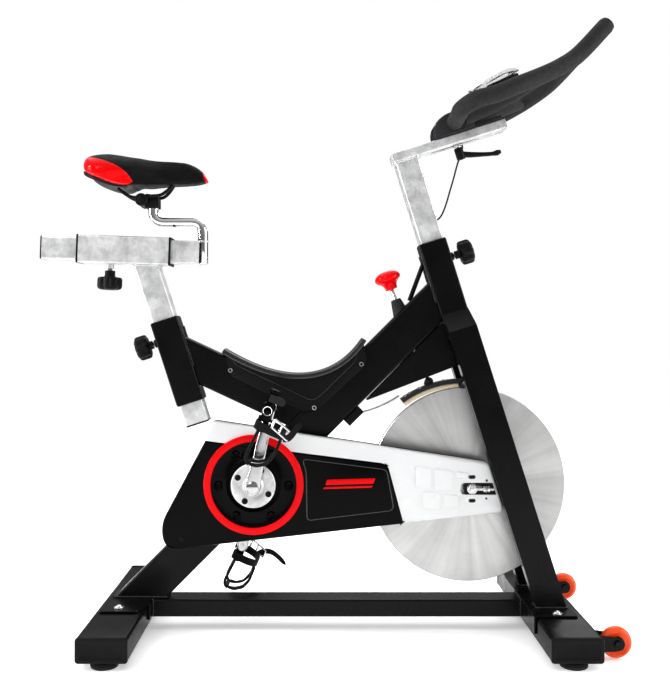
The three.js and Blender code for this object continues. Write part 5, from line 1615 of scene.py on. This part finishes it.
def seat():
    seat_metal()
    saddle_clamp()
    saddle()
    hand_knob("slider_knob", RAIL_FRAME, side(-33, -26), -UP, 5.5, 19, 33, 11, 28, 27, "slider_knob",
              "slider_knob")
    hand_knob("seat_pin", SEAT_FRAME, side(-26, PIN_Z), -FORWARD, 5.5, 16, 25, 9, 29, 26.5, "seat_pin",
              "seat_pin_knob")


seat()


# ------------------------------------------------------------------ handlebar
GRIP_ROUTE = [           # right half of the grip, from the clamp outwards: x, z, distance from the middle
    (294, 1095, 35), (291, 1093.5, 110), (291, 1095, 158), (314, 1107.5, 178), (354, 1118.5, 180),
    (401.5, 1139, 172), (457, 1165, 150), (496, 1187, 130), (535, 1215, 112), (600, 1283, 100),
]
INNER_ROUTE = [(312, 1098, 50), (345, 1110, 52), (389, 1131, 62), (440, 1157, 100), (478, 1177, 138)]


def handlebar():
    route = [side(*p) for p in GRIP_ROUTE]
    mirrored = [side(p.x, p.z, -p.y) for p in reversed(route)]
    line = evenly(smooth_path([*mirrored, *route], 10), 5)
    form = Form()
    count = len(line) - 1
    end = 1.0 / count

    def rounding(t):
        near = min(t, 1 - t) / end
        return 1 if near >= 1 else 0.92 + 0.08 * math.sin(near * math.pi / 2)

    sweep(form, line, circle(BAR["tube"], 40), grow=rounding)
    for s in SIDES.values():
        inner = smooth_path([side(x, z, s * y) for x, z, y in INNER_ROUTE], 10)
        sweep(form, inner, circle(BAR["inner"], 32))
    piece("handlebar_grips", form, LOOKS["foam"], "handlebar", ("handlebar",), bevel=1.2, sharp=60)
    caps = Form()
    for s in SIDES.values():
        tip = side(600, 1283, s * 100)
        along = (line[-1] - line[-3])
        along = Vector((along.x, abs(along.y) * (-s), along.z)).normalized()
        lathe(caps, [(0, -0.6), (15.8, -0.6), (15.8, 2), (14.8, 3.4), (12.6, 4), (0, 4.3)], tip, along, 40)
    piece("grip_end_plugs", caps, LOOKS["soft_grey"], "handlebar", bevel=0.3)


def clamp():
    """Moulded clamp that holds the bar on its rail, with the stud and the quick lever below."""
    form = Form(HEAD_FRAME)
    outline = rounded([(71, 208.3, 4), (161, 208.3, 4), (163, 228, 9), (142, 255, 16), (100, 255, 18),
                       (72, 232, 12)], 6)
    slab(form, outline, [(-36, -4), (-34.8, -1.8), (-32, 0), (32, 0), (34.8, -1.8), (36, -4)])
    for y in (-14, 14):
        path = [side(x, z, y) for x, z in widened(outline, 0.3)]
        sweep(form, path, rectangle(2.8, 1.6, 0.5, 2), up=(0, 1, 0), closed=True)
    plate = rectangle(60, 9.6, 3)
    stack(form, [[Vector((x, u, 213.2 + v)) for u, v in plate] for x in (151, 222)])
    piece("handlebar_clamp_housing", form, LOOKS["soft_grey"], "handlebar", ("handlebar_clamp",), bevel=0.8,
          sharp=46)
    bolts = Form(HEAD_FRAME)
    for x, z, lean in ((82, 238, -0.5), (152, 236, 0.8)):
        for y in (-24, 24):
            bolt(bolts, side(x, z, y), UP + FORWARD * lean, 4.2, washer=False)
    lathe(bolts, [(0, 158), (4.3, 158), (5, 159), (5, 209), (0, 209)], side(118, 0), UP, 28)
    plain_ring(bolts, 5, 11.5, 1.8, side(118, 184.4), UP, 36)
    piece("handlebar_clamp_bolts", bolts, LOOKS["zinc"], "handlebar", bevel=0.3)

    lever = Form(HEAD_FRAME)
    lathe(lever, [(5.4, 155.6), (8.6, 155), (9.5, 156), (9.5, 179.6), (8.4, 181), (5.4, 181), (5.4, 155.6)],
          side(118, 0), UP, 40)
    arm = [side(124, 164.5), side(140, 159), side(165, 152), side(186, 147), side(197, 146), side(205, 146.5)]
    sizes = [1.0, 0.92, 0.72, 0.66, 0.95, 0.55]
    path = smooth_path(arm, 6)

    def width(t):
        k = min(len(sizes) - 2, int(t * (len(sizes) - 1)))
        f = t * (len(sizes) - 1) - k
        return sizes[k] * (1 - f) + sizes[k + 1] * f

    sweep(lever, path, rectangle(13, 13, 5.5, 5), up=(0, 1, 0), grow=width)
    piece("clamp_lever_arm", lever, LOOKS["plastic"], "clamp_lever", ("clamp_lever",), bevel=0.6, sharp=50)


def console():
    """Small meter on a stalk: white shell, dark screen on top and a dark lower cover."""
    shell = rounded([(319, 1154, 2), (342, 1154, 5), (367, 1174, 12), (404, 1196, 14), (426, 1198, 5),
                     (435, 1204, 4), (424, 1213, 7), (403, 1211.5, 14), (363, 1190, 14),
                     (334, 1169.5, 10)], 6)
    form = Form()
    slab(form, shell, [(-43, -5), (-42, -2.4), (-39, -0.6), (-35, 0), (35, 0), (39, -0.6), (42, -2.4),
                       (43, -5)])
    piece("console_shell", form, LOOKS["white"], "handlebar", ("console",), bevel=0.4, sharp=50)
    dark = Form()
    tilt = math.atan2(1210 - 1172, 403 - 336)
    face = Matrix.Translation(side(376, 1196.4)) @ Matrix.Rotation(-tilt, 4, LEFT)
    rings = [[face @ Vector((u, v, d)) for u, v in rectangle(44 - g, 60 - g, 8)] for d, g in
             ((-2, 0), (0.5, 0), (1.1, 1.2), (1.1, 4), (0.5, 5))]
    stack(dark, rings)
    piece("console_screen", dark, LOOKS["screen"], "handlebar", sharp=50)
    buttons = Form()
    for v in (-15, 0, 15):
        at = face @ Vector((-29, v, -1.2))
        lathe(buttons, [(0, -1.5), (3.6, -1.5), (3.6, 0.4), (2.9, 1.0), (0, 1.2)], at,
              face.to_3x3() @ UP, 28)
    piece("console_buttons", buttons, LOOKS["red"], "handlebar", sharp=50)
    lower = Form()
    stalk = rounded([(310, 1118, 3), (322.5, 1118, 3), (371, 1164, 4), (353, 1162, 4)], 4)
    slab(lower, stalk, ((-15, -2.5), (-13, -0.5), (13, -0.5), (15, -2.5)))
    belly = rounded([(331, 1155, 2), (344, 1153.5, 4), (428, 1185, 6), (431, 1199, 3), (404, 1200, 8),
                     (366, 1178, 10)], 4)
    slab(lower, belly, ((-39, -2), (-37, 0), (37, 0), (39, -2)))
    piece("console_stalk", lower, LOOKS["soft_grey"], "handlebar", bevel=0.5, sharp=50)


def controls():
    refined("handlebar_post", LOOKS["silver"], 0.8)
    refined("handlebar_rail", LOOKS["silver"], 0.8)
    handlebar()
    clamp()
    console()
    hand_knob("head_pin", HEAD_FRAME, side(26, PIN_Z), FORWARD, 5.5, 16, 27, 9, 29, 26.5, "head_pin",
              "head_pin_knob")
    beads = Form()
    under = [HEAD_FRAME @ Vector((u, v, 187.2)) for u, v in rectangle(POST + 1, POST + 1, 4, 3)]
    weld_bead(beads, under, 2.2, closed=True)
    piece("handlebar_post_weld", beads, LOOKS["silver"], "handlebar_post", sharp=70)
    caps = Form(HEAD_FRAME)
    for x, out in ((-26, -1), (225, 1)):
        rings = [[Vector((x + out * d, u, 198 + v)) for u, v in rectangle(w, h, 2.4)] for d, w, h in
                 ((-2, 54.6, 14.6), (0.2, 54.6, 14.6), (0.2, 60, 20), (1.9, 60, 20), (2.6, 57, 17))]
        stack(caps, rings)
    piece("rail_end_caps", caps, LOOKS["silver"], "handlebar_post", bevel=0.3)


# ------------------------------------------------------------------ brake
def brake():
    x, z = AXLE
    down = (side(*BRAKE["clevis"]) - side(*BRAKE["knob"])).normalized()
    knob = side(*BRAKE["knob"])
    face = FLYWHEEL["radius"] + 0.3
    back = face + PAD["thick"] + 0.3
    start, end, steps = PAD["start"], PAD["end"], 28

    def arc(r, a):
        return side(x + r * math.cos(math.radians(a)), z + r * math.sin(math.radians(a)))

    felt_form = Form(BRAKE_FRAME)
    turns = [start + (end - start) * k / steps for k in range(steps + 1)]
    half, thick = PAD["half"], PAD["thick"]
    rings = []
    for k, a in enumerate(turns):
        soft = 0.5 if 0 < k < steps else 1.6
        mid = face + thick / 2
        rings.append([arc(mid + v, a) + LEFT * u for u, v in rectangle(2 * half - soft, thick - 0.2, 1.8, 3)])
    stack(felt_form, rings)
    piece("brake_felt", felt_form, LOOKS["felt"], "brake_shoe", ("brake_pad",), sharp=60)

    holder = Form(BRAKE_FRAME)
    rings = []
    for a in [start - 3 + (end - start + 3) * k / 30 for k in range(31)]:
        tall = PAD["holder"]
        section = [(-17, 0), (-17, tall - 2), (-15, tall), (15, tall), (17, tall - 2), (17, 0)]
        rings.append([arc(back + v, a) + LEFT * u for u, v in section])
    stack(holder, rings)
    for s in SIDES.values():
        eye = [(0, 0), (8.4, 0), (8.4, 6), (0, 6)]
        lathe(holder, eye, side(*BRAKE["pivot"], s * 11), LEFT * s, 36)
        ear = rounded([(308, 521, 3), (328, 521, 3), (326, 534, 8), (318, 542, 6), (310, 534, 8)], 5)
        prism(holder, ear, *sorted((s * 11, s * 16)))
        lug = rounded([(232, 524, 2), (252, 528, 2), (250, 539, 5), (240, 543, 5), (235, 538, 4)], 4)
        prism(holder, lug, *sorted((s * 2.5, s * 7)))
    piece("brake_shoe_holder", holder, LOOKS["soft_grey"], "brake_shoe", ("brake_holder",), bevel=0.6,
          sharp=46)
    screws = Form(BRAKE_FRAME)
    for a in (123, 126, 117, 103):
        out = (arc(1, a) - side(x, z)).normalized()
        for y in (-9 if a != 103 else 0, 9):
            bolt(screws, arc(back + PAD["holder"] - 0.2, a) + LEFT * y, out, 3.4, False)
    for s in SIDES.values():
        head = [(0, 0), (4.4, 0), (4.4, 1), (3.4, 2.2), (0, 2.4)]
        lathe(screws, head, side(*BRAKE["pivot"], s * 17), LEFT * s, 28)
    piece("brake_shoe_screws", screws, LOOKS["zinc"], "brake_shoe", bevel=0.2)

    refined("brake_leaf", LOOKS["steel"], 0.3)
    rod = Form()
    lathe(rod, [(0, 7), (3.4, 7), (4, 8), (4, 214), (6, 214), (6, 222.6), (5, 224), (0, 224)], knob, down, 32)
    for k in range(36):
        h = 178 + k
        lathe(rod, [(3.9, h), (4.25, h + 0.3), (3.9, h + 0.6)], knob, down, 24)
    piece("brake_push_rod", rod, LOOKS["chrome"], "tension_rod", ("brake_rod",), sharp=40)

    housing = Form()
    beam_top = side(0, BEAM["axis_z"]) + heading(BEAM["angle"] + 90) * (BEAM["depth"] / 2 + 0.4)
    normal = heading(BEAM["angle"] + 90)
    place = basis(knob + down * 44, down)
    rings = []
    levels = [(4.8, 0), (9, 0), (10.6, 0.8), (11.4, 3), (13, 10), (14.6, 18), (16.4, 28), (18, 36),
              (19.2, 46), (20, 60)]
    for r, h in levels:
        ring = []
        for i in range(96):
            a = 2 * math.pi * i / 96
            rib = 0.75 * (0.5 + 0.5 * math.cos(16 * a)) if 3 <= h else 0
            p = place @ Vector(((r - rib) * math.cos(a), (r - rib) * math.sin(a), h))
            under = (p - beam_top).dot(normal)
            if under < 0:
                p -= down * (under / down.dot(normal))
            ring.append(p)
        rings.append(ring)
    stack(housing, rings)
    piece("resistance_housing", housing, LOOKS["soft_grey"], "frame", ("knob_housing",), sharp=50)

    red = Form()
    cap = [(0, 16.5), (4.4, 16.5), (4.4, 0.4), (11.6, 0), (13, 1), (13.2, 4), (14.2, 9), (16.4, 13), (21, 17),
           (25.4, 20), (27.8, 23.4), (28.5, 26.8), (27.9, 30), (25.6, 34), (21.5, 37.4), (15, 40.2),
           (8, 41.6), (0, 42)]
    lathe(red, cap, knob + down * 21, -down, 72)
    piece("resistance_knob_cap", red, LOOKS["red"], "tension_knob", ("resistance_knob",), sharp=50)


controls()
brake()
